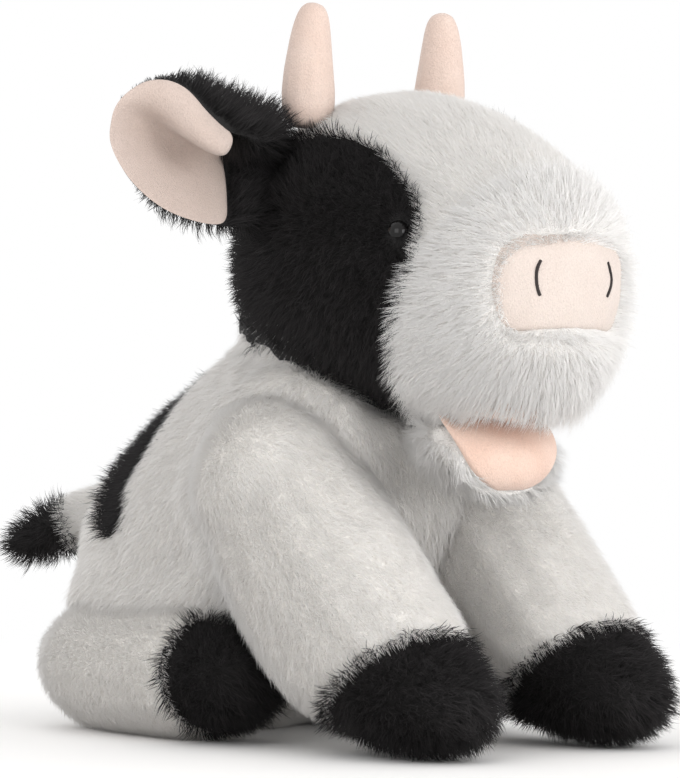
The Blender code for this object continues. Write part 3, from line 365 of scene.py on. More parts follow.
WHITE_PILE = Pile(
    length=0.0064, spread=0.13, width=0.00030, lean=0.46, droop=0.74,
    wander=0.12, lock=0.0034, pull=0.16, density=2.00e6,
)
CROWN_PILE = replace(WHITE_PILE, length=0.0058, lean=0.48, droop=0.76, density=2.05e6)
MUZZLE_PILE = Pile(
    length=0.0088, spread=0.15, width=0.00032, lean=0.36, droop=0.68,
    wander=0.14, lock=0.0042, pull=0.24, density=1.80e6, joints=2,
)
BLACK_PILE = Pile(
    length=0.0084, spread=0.18, width=0.00036, lean=0.20, droop=0.46,
    wander=0.24, lock=0.0032, pull=0.42, density=1.45e6, joints=2,
)
TUFT_PILE = replace(
    BLACK_PILE, length=0.0088, spread=0.20, lean=0.22, droop=0.48, wander=0.26, pull=0.50, density=1.55e6
)


class Strands:
    """Grows the strands of one panel's pile as a mesh of tapered ribbons.

    lengths and covers bound how short and long a strand may be as a share of the pile's length,
    locking is how firmly locks hold and lock_curve how late along the strand, turn is how much the
    ribbons turn about their lines, and taper how late they narrow.
    """

    lengths: Range = (0.35, 1.5)
    covers: Range = (0.25, 1.6)
    locking: Range = (0.55, 1.0)
    lock_curve: float = 1.3
    turn: float = 0.45
    taper: float = 0.6

    def __init__(self, pile: Pile, comb: Comb, seed: int) -> None:
        """Keep how the pile stands and which way it is brushed.

        Args:
            pile: how the strands stand.
            comb: gives the way that they are brushed at places with given normals.
            seed: the seed of every random draw.
        """
        self.pile = pile
        self.comb = comb
        self.draw = np.random.default_rng(seed)

    def roots(self, form: Form, edge: Array, cover: Array) -> tuple[Array, Array, Array]:
        """Return the strands' places, the surface's direction there and their cover.

        Args:
            form: the skin that the strands grow from.
            edge: how far inside the panel each point of the skin lies.
            cover: how long a strand is at each point, as a share of the pile's length.
        Returns:
            Rows of places, rows of normals and one number for each strand.
        """
        quads = form.quads
        halves = np.concatenate((quads[:, (0, 1, 2)], quads[:, (0, 2, 3)]))
        corner = form.points[halves]
        spans = corner[:, 1:] - corner[:, :1]
        area = np.linalg.norm(np.cross(spans[:, 0], spans[:, 1]), axis=1) / 2.0
        weight = area * (edge[halves].max(axis=1) > 0.0)
        run = np.cumsum(weight)
        count = int(run[-1] * self.pile.density)
        ticks = (np.arange(count) + self.draw.random(count)) / max(count, 1) * run[-1]
        chosen = np.minimum(np.searchsorted(run, ticks), len(run) - 1)
        share = self.draw.random((count, 2))
        fold = share.sum(axis=1) > 1.0
        share[fold] = 1.0 - share[fold]
        mix = np.stack((1.0 - share.sum(axis=1), share[:, 0], share[:, 1]), axis=1)[:, :, None]
        normals = form.normals()
        picked = halves[chosen]
        places = (form.points[picked] * mix).sum(axis=1)
        facing = unit((normals[picked] * mix).sum(axis=1))
        inside = (edge[picked] * mix[:, :, 0]).sum(axis=1) > 0.0
        kept = (cover[picked] * mix[:, :, 0]).sum(axis=1)
        return places[inside], facing[inside], kept[inside]

    def lines(self, places: Array, facing: Array, cover: Array) -> Array:
        """Return the middle lines of the strands, from root to tip.

        Args:
            places: the roots.
            facing: the surface's direction at each root.
            cover: how long each strand is, as a share of the pile's length.
        Returns:
            An array of strands by joints by three numbers.
        """
        pile = self.pile
        count = len(places)
        brushed = self.comb(places, facing)
        brushed = unit(brushed - facing * (brushed * facing).sum(axis=1, keepdims=True))
        stray = self.draw.normal(size=(count, 3)) * pile.wander
        length = pile.length * np.clip(self.draw.normal(1.0, pile.spread, count), *self.lengths)
        length = length * np.clip(cover, *self.covers)
        steps = pile.joints + 1
        spots = [places - facing * pile.width]
        for step in range(1, steps + 1):
            lie = pile.lean + (pile.droop - pile.lean) * (step - 1) / max(steps - 1, 1)
            loose = stray * (1.0 + step / steps) / 2.0
            way = unit(facing * (1.0 - lie) + brushed * lie + loose)
            spots.append(spots[-1] + way * (length / steps)[:, None])
        return self.locked(np.stack(spots, axis=1))

    def locked(self, lines: Array) -> Array:
        """Return the strands drawn together into pointed locks."""
        pile = self.pile
        roots = lines[:, 0]
        spacing = pile.lock * pile.lock * pile.density
        heads = self.draw.choice(len(roots), max(int(len(roots) / spacing), 1), replace=False)
        tree = KDTree(len(heads))
        for index in heads:
            tree.insert(Vector(roots[index]), int(index))
        tree.balance()
        nearest = np.fromiter((tree.find(Vector(root))[1] for root in roots), int, len(roots))
        strength = pile.pull * self.draw.uniform(*self.locking, len(lines))
        tips = lines[nearest]
        for step in range(1, lines.shape[1]):
            share = (step / (lines.shape[1] - 1)) ** self.lock_curve
            lines[:, step] += (tips[:, step] - lines[:, step]) * (strength * share)[:, None]
        return lines

    def ribbons(self, name: str, lines: Array, facing: Array) -> Piece:
        """Return the mesh object of the strands' ribbons.

        Args:
            name: the piece's name.
            lines: the strands' middle lines.
            facing: the surface's direction at each root.
        Returns:
            The object, with the strand map that its finish reads.
        """
        above_floor(lines)
        count, rows, _ = lines.shape
        along = unit(lines[:, -1] - lines[:, 0])
        level = unit(np.cross(along, facing) + self.draw.normal(size=(count, 3)) * self.turn)
        level = unit(level - along * (level * along).sum(axis=1, keepdims=True))
        taper = np.linspace(1.0, 0.0, rows) ** self.taper
        half = level[:, None, :] * (self.pile.width * 0.5 * taper[:-1])[None, :, None]
        sides = np.stack((lines[:, :-1] - half, lines[:, :-1] + half), axis=2)
        points = np.concatenate((sides.reshape(count, -1, 3), lines[:, -1:]), axis=1)
        shading = unit(facing * SKIN_SHADE + np.cross(level, along) * (1.0 - SKIN_SHADE))
        return strand_object(name, points, shading, self.draw.integers(0, STRAND_COLUMNS, count))

    def grow(self, name: str, form: Form, edge: Array, cover: Array) -> list[Piece]:
        """Return the pile of a panel, as pieces of no more faces than the export takes whole.

        Args:
            name: the piece's name.
            form: the skin that it grows from.
            edge: how far inside the panel each point of the skin lies.
            cover: how long a strand is at each point, as a share of the pile's length.
        Returns:
            The pieces.
        """
        places, facing, kept = self.roots(form, edge, cover)
        lines = self.lines(places, facing, kept)
        triangles = len(lines) * (2 * self.pile.joints + 1)
        parts = math.ceil(triangles / FACE_LIMIT)
        order = np.argsort(places[:, 1], kind="stable")
        pieces = []
        for index, chosen in enumerate(np.array_split(order, parts)):
            label = name if parts == 1 else f"{name}_{index + 1}"
            pieces.append(self.ribbons(label, lines[chosen], facing[chosen]))
        return pieces


def strand_object(name: str, points: Array, shading: Array, columns: Array) -> Piece:
    """Return an object of ribbons with their map of strand and share along it.

    Args:
        name: the object's name.
        points: strands by corners by three numbers, in pairs up to the tip.
        shading: the direction that each strand is shaded as facing.
        columns: the column of the strand map that each strand takes its shade from.
    Returns:
        The object.
    """
    count, corners, _ = points.shape
    pairs = (corners - 1) // 2
    loops = []
    shares = []
    sides = []
    for row in range(pairs - 1):
        base = row * 2
        loops += [base, base + 1, base + 3, base + 2]
        shares += [row / pairs, row / pairs, (row + 1) / pairs, (row + 1) / pairs]
        sides += [0.0, 1.0, 1.0, 0.0]
    last = (pairs - 1) * 2
    loops += [last, last + 1, last + 2]
    shares += [(pairs - 1) / pairs, (pairs - 1) / pairs, 1.0]
    sides += [0.0, 1.0, 0.5]
    starts = np.arange(pairs) * 4
    strand = np.arange(count)[:, None]
    run = strand * corners + np.array(loops)[None, :]
    piece = laid_piece(name, points, run, strand * len(loops) + starts[None, :])
    across = STRAND_MARGIN + np.array(sides) * (1.0 - 2.0 * STRAND_MARGIN)
    flat = np.empty((count, len(loops), 2), np.float32)
    flat[:, :, 0] = (columns[:, None] + across[None, :]) / STRAND_COLUMNS
    flat[:, :, 1] = np.array(shares)[None, :] * (1.0 - 2.0 * STRAND_END) + STRAND_END
    piece.data.uv_layers.new(name=STRAND_MAP).data.foreach_set("uv", flat.ravel())
    piece.data.normals_split_custom_set_from_vertices(np.repeat(shading, corners, axis=0))
    return piece


def placed(name: str, data: bpy.types.ID) -> Piece:
    """Return a new object that shows some data in the scene."""
    piece = bpy.data.objects.new(name, data)
    bpy.context.scene.collection.objects.link(piece)
    return piece


def laid_piece(name: str, points: Array, run: Array, starts: Array) -> Piece:
    """Return a smooth-shaded object of faces that are laid through points.

    Args:
        name: the object's name.
        points: the points.
        run: the points that the faces run through, face after face.
        starts: where each face starts in the run.
    Returns:
        The object.
    """
    mesh = bpy.data.meshes.new(name)
    mesh.vertices.add(points.size // 3)
    mesh.vertices.foreach_set("co", points.astype(np.float32).ravel())
    mesh.loops.add(run.size)
    mesh.loops.foreach_set("vertex_index", run.astype(np.int32).ravel())
    mesh.polygons.add(starts.size)
    mesh.polygons.foreach_set("loop_start", starts.astype(np.int32).ravel())
    mesh.update(calc_edges=True)
    mesh.shade_smooth()
    return placed(name, mesh)


def form_object(name: str, form: Form) -> Piece:
    """Return a smooth-shaded object of a form."""
    return laid_piece(name, form.points, form.quads, np.arange(0, form.quads.size, 4))


def settled(piece: Piece) -> Piece:
    """Apply a piece's modifiers to its mesh and return the piece."""
    bpy.context.view_layer.update()
    graph = bpy.context.evaluated_depsgraph_get()
    mesh = bpy.data.meshes.new_from_object(piece.evaluated_get(graph))
    piece.modifiers.clear()
    piece.data = mesh
    return piece


class Wiring:
    """Adds nodes to a shader tree and joins their sockets."""

    def __init__(self, tree: Tree) -> None:
        """Keep the tree.

        Args:
            tree: a material's, a world's or a group's tree.
        """
        self.tree = tree

    def add(self, kind: str, **values: object) -> Node:
        """Return a new node.

        Args:
            kind: the node's type.
            values: its properties, and its inputs' values where the name is an input's.
        Returns:
            The node.
        """
        node = self.tree.nodes.new(kind)
        for name, value in values.items():
            socket = name.replace("_", " ").title()
            if socket in node.inputs:
                node.inputs[socket].default_value = value
            else:
                setattr(node, name, value)
        return node

    def join(self, source: float | Colour | Socket, target: Socket) -> None:
        """Join an output to an input, or give the input a plain number or colour."""
        if isinstance(source, Socket):
            self.tree.links.new(source, target)
        else:
            target.default_value = (*source, 1.0) if isinstance(source, tuple) else source

    def maths(self, kind: str, *terms: float | Socket) -> Socket:
        """Return the result of a sum on numbers or outputs."""
        node = self.add("ShaderNodeMath", operation=kind)
        for index, term in enumerate(terms):
            self.join(term, node.inputs[index])
        return node.outputs[0]

    def ranged(self, value: Socket, **limits: float | str) -> Socket:
        """Return an output mapped from one range to another."""
        node = self.add("ShaderNodeMapRange", **limits)
        self.join(value, node.inputs[0])
        return node.outputs[0]

    def scaled(self, vector: Socket, gain: float | Socket) -> Socket:
        """Return a colour or a direction times a number."""
        node = self.add("ShaderNodeVectorMath", operation="SCALE")
        self.join(vector, node.inputs[0])
        self.join(gain, node.inputs["Scale"])
        return node.outputs[0]

    def mixed(self, share: Socket, low: Socket, high: Socket) -> Socket:
        """Return the mix of two colours by the share of the second."""
        node = self.add("ShaderNodeMix", data_type="RGBA")
        for index, source in ((0, share), (6, low), (7, high)):
            self.join(source, node.inputs[index])
        return node.outputs[2]

    def show_both(self, share: float | Socket, first: Node, second: Node) -> None:
        """Show a material's two shaders together, by the share of the second."""
        mix = self.add("ShaderNodeMixShader")
        for target, source in zip(mix.inputs, (share, first.outputs[0], second.outputs[0])):
            self.join(source, target)
        self.join(mix.outputs[0], self.tree.nodes["Material Output"].inputs["Surface"])


class ShadeGroup(Enum):
    """The shader groups that more than one finish uses."""

    STRAND = "strand shade"
    MOTTLE = "soft mottling"
    NAP = "short nap"


def shade_group(kind: ShadeGroup) -> Tree:
    """Return a shared shader group, built the first time that it is asked for.

    Args:
        kind: which group.
    Returns:
        The group's tree.
    """
    found = bpy.data.node_groups.get(kind.value)
    if found is not None:
        return found
    tree = bpy.data.node_groups.new(kind.value, "ShaderNodeTree")
    {
        ShadeGroup.STRAND: build_strand_group,
        ShadeGroup.MOTTLE: build_mottle_group,
        ShadeGroup.NAP: build_nap_group,
    }[kind](tree)
    return tree


def sockets(tree: Tree, ins: dict[str, str], outs: dict[str, str]) -> tuple:
    """Give a group its sockets.

    Args:
        tree: the group's tree.
        ins: its inputs, by name and kind.
        outs: its outputs, by name and kind.
    Returns:
        The wiring, the group's input node and its output node.
    """
    for way, named in (("INPUT", ins), ("OUTPUT", outs)):
        for name, kind in named.items():
            tree.interface.new_socket(name, in_out=way, socket_type=f"NodeSocket{kind}")
    wiring = Wiring(tree)
    return wiring, wiring.add("NodeGroupInput"), wiring.add("NodeGroupOutput")


def build_strand_group(tree: Tree) -> None:
    """Fill the group that shades a strand from root to tip, each one a little unlike the next. The root
    colour that it starts from is darker than the tip: painted shade of the deep pile.
    """
    colours = {"Root": "Color", "Tip": "Color", "Stray": "Float"}
    wiring, given, made = sockets(tree, colours, {"Color": "Color"})
    spot = wiring.add("ShaderNodeUVMap", uv_map=STRAND_MAP)
    split = wiring.add("ShaderNodeSeparateXYZ")
    wiring.join(spot.outputs[0], split.inputs[0])
    column = wiring.maths("FLOOR", wiring.maths("MULTIPLY", split.outputs[0], float(STRAND_COLUMNS)))
    chance = wiring.add("ShaderNodeTexWhiteNoise", noise_dimensions="1D")
    wiring.join(column, chance.inputs["W"])
    rise = wiring.maths("POWER", split.outputs[1], 0.8)
    # The darker root colour is painted shade of the deep pile; the strand lightens towards its tip.
    shade = wiring.mixed(rise, given.outputs["Root"], given.outputs["Tip"])
    off = wiring.maths("SUBTRACT", chance.outputs[0], 0.5)
    gain = wiring.maths("MULTIPLY_ADD", off, given.outputs["Stray"], 1.0)
    wiring.join(wiring.scaled(shade, gain), made.inputs[0])


def build_mottle_group(tree: Tree) -> None:
    """Fill the group that wanders between two colours over a length."""
    colours = {"Light": "Color", "Deep": "Color", "Scale": "Float"}
    wiring, given, made = sockets(tree, colours, {"Color": "Color"})
    place = wiring.add("ShaderNodeTexCoord")
    noise = wiring.add("ShaderNodeTexNoise", detail=4.0, roughness=0.62)
    wiring.join(place.outputs["Object"], noise.inputs["Vector"])
    wiring.join(given.outputs["Scale"], noise.inputs["Scale"])
    spread = wiring.ranged(noise.outputs[0], from_min=0.32, from_max=0.68)
    wiring.join(wiring.mixed(spread, given.outputs["Light"], given.outputs["Deep"]), made.inputs[0])


def build_nap_group(tree: Tree) -> None:
    """Fill the group that gives the height of a short fibrous nap."""
    wiring, given, made = sockets(tree, {"Scale": "Float", "Stretch": "Float"}, {"Height": "Float"})
    place = wiring.add("ShaderNodeTexCoord")
    squeeze = wiring.add("ShaderNodeCombineXYZ", x=1.0, y=1.0)
    wiring.join(given.outputs["Stretch"], squeeze.inputs["Z"])
    laid = wiring.add("ShaderNodeVectorMath", operation="MULTIPLY")
    wiring.join(place.outputs["Object"], laid.inputs[0])
    wiring.join(squeeze.outputs[0], laid.inputs[1])
    noise = wiring.add("ShaderNodeTexNoise", detail=3.0, roughness=0.7)
    cells = wiring.add("ShaderNodeTexVoronoi", feature="F1")
    for texture in (noise, cells):
        wiring.join(laid.outputs[0], texture.inputs["Vector"])
        wiring.join(given.outputs["Scale"], texture.inputs["Scale"])
    total = wiring.maths("MULTIPLY_ADD", cells.outputs["Distance"], -0.6, noise.outputs[0])
    wiring.join(total, made.inputs[0])


class Finish:
    """A procedural finish of one surface."""

    def material(
        self, name: str, **constants: float
    ) -> tuple[Material, Wiring, Node]:
        """Return a new material with its wiring and its surface shader.

        Args:
            name: the material's name.
            constants: the shader's plain inputs, with _ for spaces.
        Returns:
            The material, the wiring of its tree and the shader.
        """
        made = bpy.data.materials.new(name)
        made.use_nodes = True
        shader = made.node_tree.nodes["Principled BSDF"]
        for key, value in constants.items():
            shader.inputs[key.replace("_", " ").title().replace("Ior", "IOR")].default_value = value
        return made, Wiring(made.node_tree), shader

    def group(self, wiring: Wiring, kind: ShadeGroup, **values: object) -> Socket:
        """Place a shared group and return its output.

        Args:
            wiring: the material's wiring.
            kind: which group.
            values: the group's inputs, in small letters.
        Returns:
            The group's first output.
        """
        node = wiring.add("ShaderNodeGroup", node_tree=shade_group(kind))
        for key, value in values.items():
            wiring.join(value, node.inputs[key.title()])
        return node.outputs[0]

    def bumped(
        self, wiring: Wiring, shader: Node, height: Socket, depth: float
    ) -> None:
        """Give a shader's surface the relief of a height.

        Args:
            wiring: the material's wiring.
            shader: its surface shader.
            height: the height from 0 to 1.
            depth: how deep a height of 1 is, in metres.
        """
        bump = wiring.add("ShaderNodeBump", distance=depth)
        wiring.join(height, bump.inputs["Height"])
        wiring.join(bump.outputs[0], shader.inputs["Normal"])


@dataclass(frozen=True)
class Plush(Finish):
    """Long pile on a knitted backing, which mottles at random down to depth of its colour. The backing and
    the strand roots are darker than the tips: painted shade of the deep pile.
    """

    name: str
    root: Colour
    tip: Colour
    backing: Colour
    stray: float
    sheen: float
    depth: float = 0.8

    def strands(self) -> Material:
        """Return the material of the pile's strands."""
        made, wiring, shader = self.material(
            f"{self.name}_strands", roughness=0.72, sheen_weight=self.sheen, specular_ior_level=0.25
        )
        shade = self.group(wiring, ShadeGroup.STRAND, root=self.root, tip=self.tip, stray=self.stray)
        wiring.join(shade, shader.inputs["Base Color"])
        self.light_through(wiring, shader, shade)
        return made

    def light_through(
        self, wiring: Wiring, shader: Node, shade: Socket
    ) -> None:
        """Light the strands as the skin under them, whichever way their ribbons are turned.

        Args:
            wiring: the material's wiring.
            shader: its surface shader.
            shade: the strands' colour.
        """
        turned = wiring.add("ShaderNodeNewGeometry")
        sign = wiring.maths("MULTIPLY_ADD", turned.outputs["Backfacing"], -2.0, 1.0)
        outward = wiring.scaled(turned.outputs["Normal"], sign)
        through = wiring.add("ShaderNodeBsdfTranslucent")
        wiring.join(shade, through.inputs["Color"])
        wiring.join(outward, shader.inputs["Normal"])
        wiring.join(wiring.scaled(outward, -1.0), through.inputs["Normal"])
        wiring.show_both(0.5, shader, through)

    def cloth(self) -> Material:
        """Return the material of the backing that the strands are knitted into."""
        made, wiring, shader = self.material(f"{self.name}_backing", roughness=0.9)
        deep = tuple(value * self.depth for value in self.backing)
        shade = self.group(wiring, ShadeGroup.MOTTLE, light=self.backing, deep=deep, scale=90.0)
        wiring.join(shade, shader.inputs["Base Color"])
        height = self.group(wiring, ShadeGroup.NAP, scale=900.0, stretch=1.6)
        self.bumped(wiring, shader, height, 0.0006)
        return made


@dataclass(frozen=True)
class Velour(Finish):
    """Smooth pink cloth with a very short nap."""

    name: str
    light: Colour
    deep: Colour
    grain: float = 1500.0
    relief: float = 0.00035
    sheen: float = 0.25
    stretch: float = 0.8

    def cloth(self) -> Material:
        """Return the material."""
        made, wiring, shader = self.material(
            self.name, roughness=0.85, sheen_weight=self.sheen, specular_ior_level=0.2
        )
        shade = self.group(wiring, ShadeGroup.MOTTLE, light=self.light, deep=self.deep, scale=60.0)
        fine = self.group(wiring, ShadeGroup.NAP, scale=self.grain, stretch=self.stretch)
        # The colour darkens in the nap's hollows and lightens on its peaks, following the nap's height:
        # painted shade and painted light of the nap.
        painted_nap_shade = wiring.ranged(fine, from_min=-0.2, from_max=0.7, to_min=0.86, to_max=1.06)
        wiring.join(wiring.scaled(shade, painted_nap_shade), shader.inputs["Base Color"])
        self.bumped(wiring, shader, fine, self.relief)
        return made


@dataclass(frozen=True)
class Moulded(Finish):
    """Moulded plastic, with the faint cloud and ripple of its mould."""

    name: str
    light: Colour
    deep: Colour
    smooth: float
    rough: float
    mirror: float = 0.5

    def cloth(self) -> Material:
        """Return the material."""
        made, wiring, shader = self.material(self.name, specular_ior_level=self.mirror)
        shade = self.group(wiring, ShadeGroup.MOTTLE, light=self.light, deep=self.deep, scale=300.0)
        wiring.join(shade, shader.inputs["Base Color"])
        ripple = self.group(wiring, ShadeGroup.NAP, scale=260.0, stretch=1.0)
        gloss = wiring.ranged(ripple, from_min=-0.2, from_max=0.8, to_min=self.smooth, to_max=self.rough)
        wiring.join(gloss, shader.inputs["Roughness"])
        self.bumped(wiring, shader, ripple, 0.00002)
        return made


# The strand roots and the backings are darker than the tips, and for white warmer: painted shade of the deep
# pile.
WHITE = Plush(
    "white_plush", root=(0.95, 0.915, 0.875), tip=(0.985, 0.968, 0.950), backing=(0.93, 0.90, 0.86),
    stray=0.03, sheen=0.15,
)
MUZZLE_WHITE = Plush(
    "long_white_plush", root=(0.96, 0.935, 0.91), tip=(0.985, 0.972, 0.96), backing=(0.93, 0.90, 0.87),
    stray=0.03, sheen=0.15,
)
BLACK = Plush(
    "black_plush", root=(0.011, 0.010, 0.010), tip=(0.040, 0.037, 0.038), backing=(0.012, 0.011, 0.011),
    stray=0.9, sheen=0.03,
)
PINK = Velour("pink_velour", (0.70, 0.56, 0.49), (0.65, 0.50, 0.43))
# A darker copy of the pink velour for the ear linings: painted shade of the ears' shaded side.
PAINTED_SHADE_EAR_PINK = Velour("ear_velour", (0.57, 0.465, 0.415), (0.52, 0.42, 0.37))
NOSE_PINK = Velour("nose_velour", (0.655, 0.57, 0.52), (0.635, 0.545, 0.495))
MOUTH_PINK = Velour("mouth_velour", (0.76, 0.57, 0.48), (0.70, 0.49, 0.40))
THREAD = Velour(
    "nostril_thread", (0.045, 0.036, 0.034), (0.022, 0.018, 0.018),
    grain=2400.0, relief=0.0002, sheen=0.1, stretch=0.3,
)
FIBRE = Velour(
    "stuffing_fibre", (0.86, 0.86, 0.84), (0.74, 0.74, 0.72),
    grain=420.0, relief=0.0016, sheen=0.1, stretch=2.4,
)
CALICO = Velour(
    "bag_cloth", (0.64, 0.61, 0.55), (0.55, 0.52, 0.46),
    grain=1300.0, relief=0.0004, sheen=0.0, stretch=0.5,
)
BEAD = Moulded(
    "eye_plastic", (0.006, 0.005, 0.005), (0.003, 0.003, 0.003), smooth=0.08, rough=0.14, mirror=0.3
)
DISC = Moulded("washer_plastic", (0.72, 0.72, 0.70), (0.64, 0.64, 0.62), smooth=0.38, rough=0.55)


@dataclass(frozen=True)
class Brushed:
    """Pile brushed one way and away from a point.

    hang is a height, the depth below it in which the pile comes to hang down, and how much it does.
    """

    way: Place
    centre: Place = (0.0, 0.0, 0.0)
    away: float = 0.0
    drift: float = 0.22
    hang: Place = (-1.0, 1.0, 0.0)

    def __call__(self, places: Array, facing: Array) -> Array:
        """Return the way that the pile lies at places.

        Args:
            places: rows of places.
            facing: the surface's direction at each.
        Returns:
            Rows of directions.
        """
        spread = unit(places - np.array(self.centre)) * self.away
        stray = np.stack([waves(places, DRIFT_SIZE, DRIFT_SEED + axis) for axis in range(3)], axis=1)
        level, depth, pull = self.hang
        way = np.array(self.way) + spread + stray * self.drift
        way[:, 2] -= smooth_step(level - places[:, 2], 0.0, depth) * pull
        return unit(way)


@dataclass(frozen=True)
class Panel:
    """One cloth panel of a skin: the node that it stands for and how it is finished.

    inset is how far under the node's surface its backing lies, so that the pile ends where the
    real one does, and overlap how far its strands grow past its seams.
    """

    node: str
    name: str
    finish: Plush
    slot: Slot
    pile: Pile
    comb: Comb
    inset: float
    overlap: float = 0.0006


@dataclass(frozen=True)
class Clearing:
    """A round place in the pile, such as that of an eye."""

    centre: Place
    radius: float
    fade: float

    def away(self, points: Array) -> Array:
        """Return how far points lie from its middle."""
        return np.linalg.norm(points - np.array(self.centre), axis=1)

    def share(self, points: Array) -> Array:
        """Return 0 for points in it, 1 for points past its fade."""
        return smooth_step(self.away(points), self.radius, self.fade)


@dataclass
class Workshop:
    """The frame and what the sub-assemblies share while they are made."""

    frame: dict
    skins: dict[str, Form]
    made: list[Piece]
    materials: dict[str, Material]

    def material(self, key: str, build: Callable[[], Material]) -> Material:
        """Return a material, made the first time that it is asked for."""
        if key not in self.materials:
            self.materials[key] = build()
        return self.materials[key]

    def finish(
        self, piece: Piece, body: str, slot: Slot, material: Material, *nodes: str
    ) -> Piece:
        """Dress a piece and fix it to its body.

        Args:
            piece: the piece.
            body: the body that it rides on.
            slot: the record's slot of its finish; not used.
            material: its material.
            nodes: the nodes that it stands for.
        Returns:
            The piece.
        """
        piece.data.materials.clear()
        piece.data.materials.append(material)
        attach(piece, body)
        if nodes:
            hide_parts(*nodes)
        self.made.append(piece)
        LOG.info("%s rides on %s, %d faces", piece.name, body, len(piece.data.polygons))
        return piece

    def form(self, names: Iterable[str], voxel: float) -> Form:
        """Return the closed surface of several nodes together.

        Args:
            names: the nodes.
            voxel: the size of its faces.
        Returns:
            The surface.
        """
        joined = bmesh.new()
        for name in names:
            joined.from_mesh(self.frame["nodes"][name].data)
        mesh = bpy.data.meshes.new("joined solids")
        joined.to_mesh(mesh)
        joined.free()
        piece = placed("joined solids", mesh)
        remesh = piece.modifiers.new("even faces", "REMESH")
        remesh.mode = "VOXEL"
        remesh.voxel_size = voxel
        settled(piece)
        form = read_form(piece.data)
        bpy.data.objects.remove(piece)
        return form

    def reach(self, node: str, places: Array, bend: Move | None = None) -> Array:
        """Return the distance from places to a node's surface.

        Args:
            node: the node.
            places: rows of places.
            bend: moves the node's points first.
        Returns:
            One distance for each place.
        """
        mesh = self.frame["nodes"][node].data
        points = np.array([vertex.co for vertex in mesh.vertices])
        if bend is not None:
            points = bend(points)
        tree = BVHTree.FromPolygons(points.tolist(), [face.vertices[:] for face in mesh.polygons])
        return nearest_gaps(tree, places)

    def grow(self, body: str, panel: Panel, skin: Form, edge: Array, cover: Array) -> None:
        """Grow a panel's pile.

        Args:
            body: the body that it rides on.
            panel: the panel.
            skin: the skin that it grows from.
            edge: how far inside the panel each point of the skin lies.
            cover: how long a strand is at each point, as a share of the pile's length.
        """
        strands = Strands(panel.pile, panel.comb, SEED + len(self.made))
        material = self.material(f"{panel.finish.name} strands", panel.finish.strands)
        for piece in strands.grow(f"{panel.name}_pile", skin, edge, cover):
            self.finish(piece, body, panel.slot, material)

    def beyond(self, body: str, places: Array, kind: str = "") -> Array:
        """Return how far places lie outside the skins of all other bodies.

        Args:
            body: the body that the places belong to.
            places: rows of places.
            kind: a word that the names of the other bodies hold.
        Returns:
            One signed distance for each place, at most a few centimetres.
        """
        reach = np.full(len(places), NEAR)
        for other, skin in self.skins.items():
            if other == body or kind not in other:
                continue
            low = skin.points.min(axis=0) - NEAR
            high = skin.points.max(axis=0) + NEAR
            close = np.all((places > low) & (places < high), axis=1)
            if close.any():
                reach[close] = np.minimum(reach[close], skin.distances(places[close]))
        return reach


def read_form(mesh: bpy.types.Mesh) -> Form:
    """Return the form of a mesh that has only four-sided faces."""
    points = np.empty(len(mesh.vertices) * 3)
    mesh.vertices.foreach_get("co", points)
    corners = np.empty(len(mesh.loops), np.int32)
    mesh.loops.foreach_get("vertex_index", corners)
    return Form(points.reshape(-1, 3), corners.reshape(-1, 4))


def part_of(form: Form, keep: Array) -> Form:
    """Return the faces of a form that a mask keeps."""
    quads = form.quads[keep]
    used, renumbered = np.unique(quads, return_inverse=True)
    return Form(form.points[used], renumbered.reshape(-1, 4))


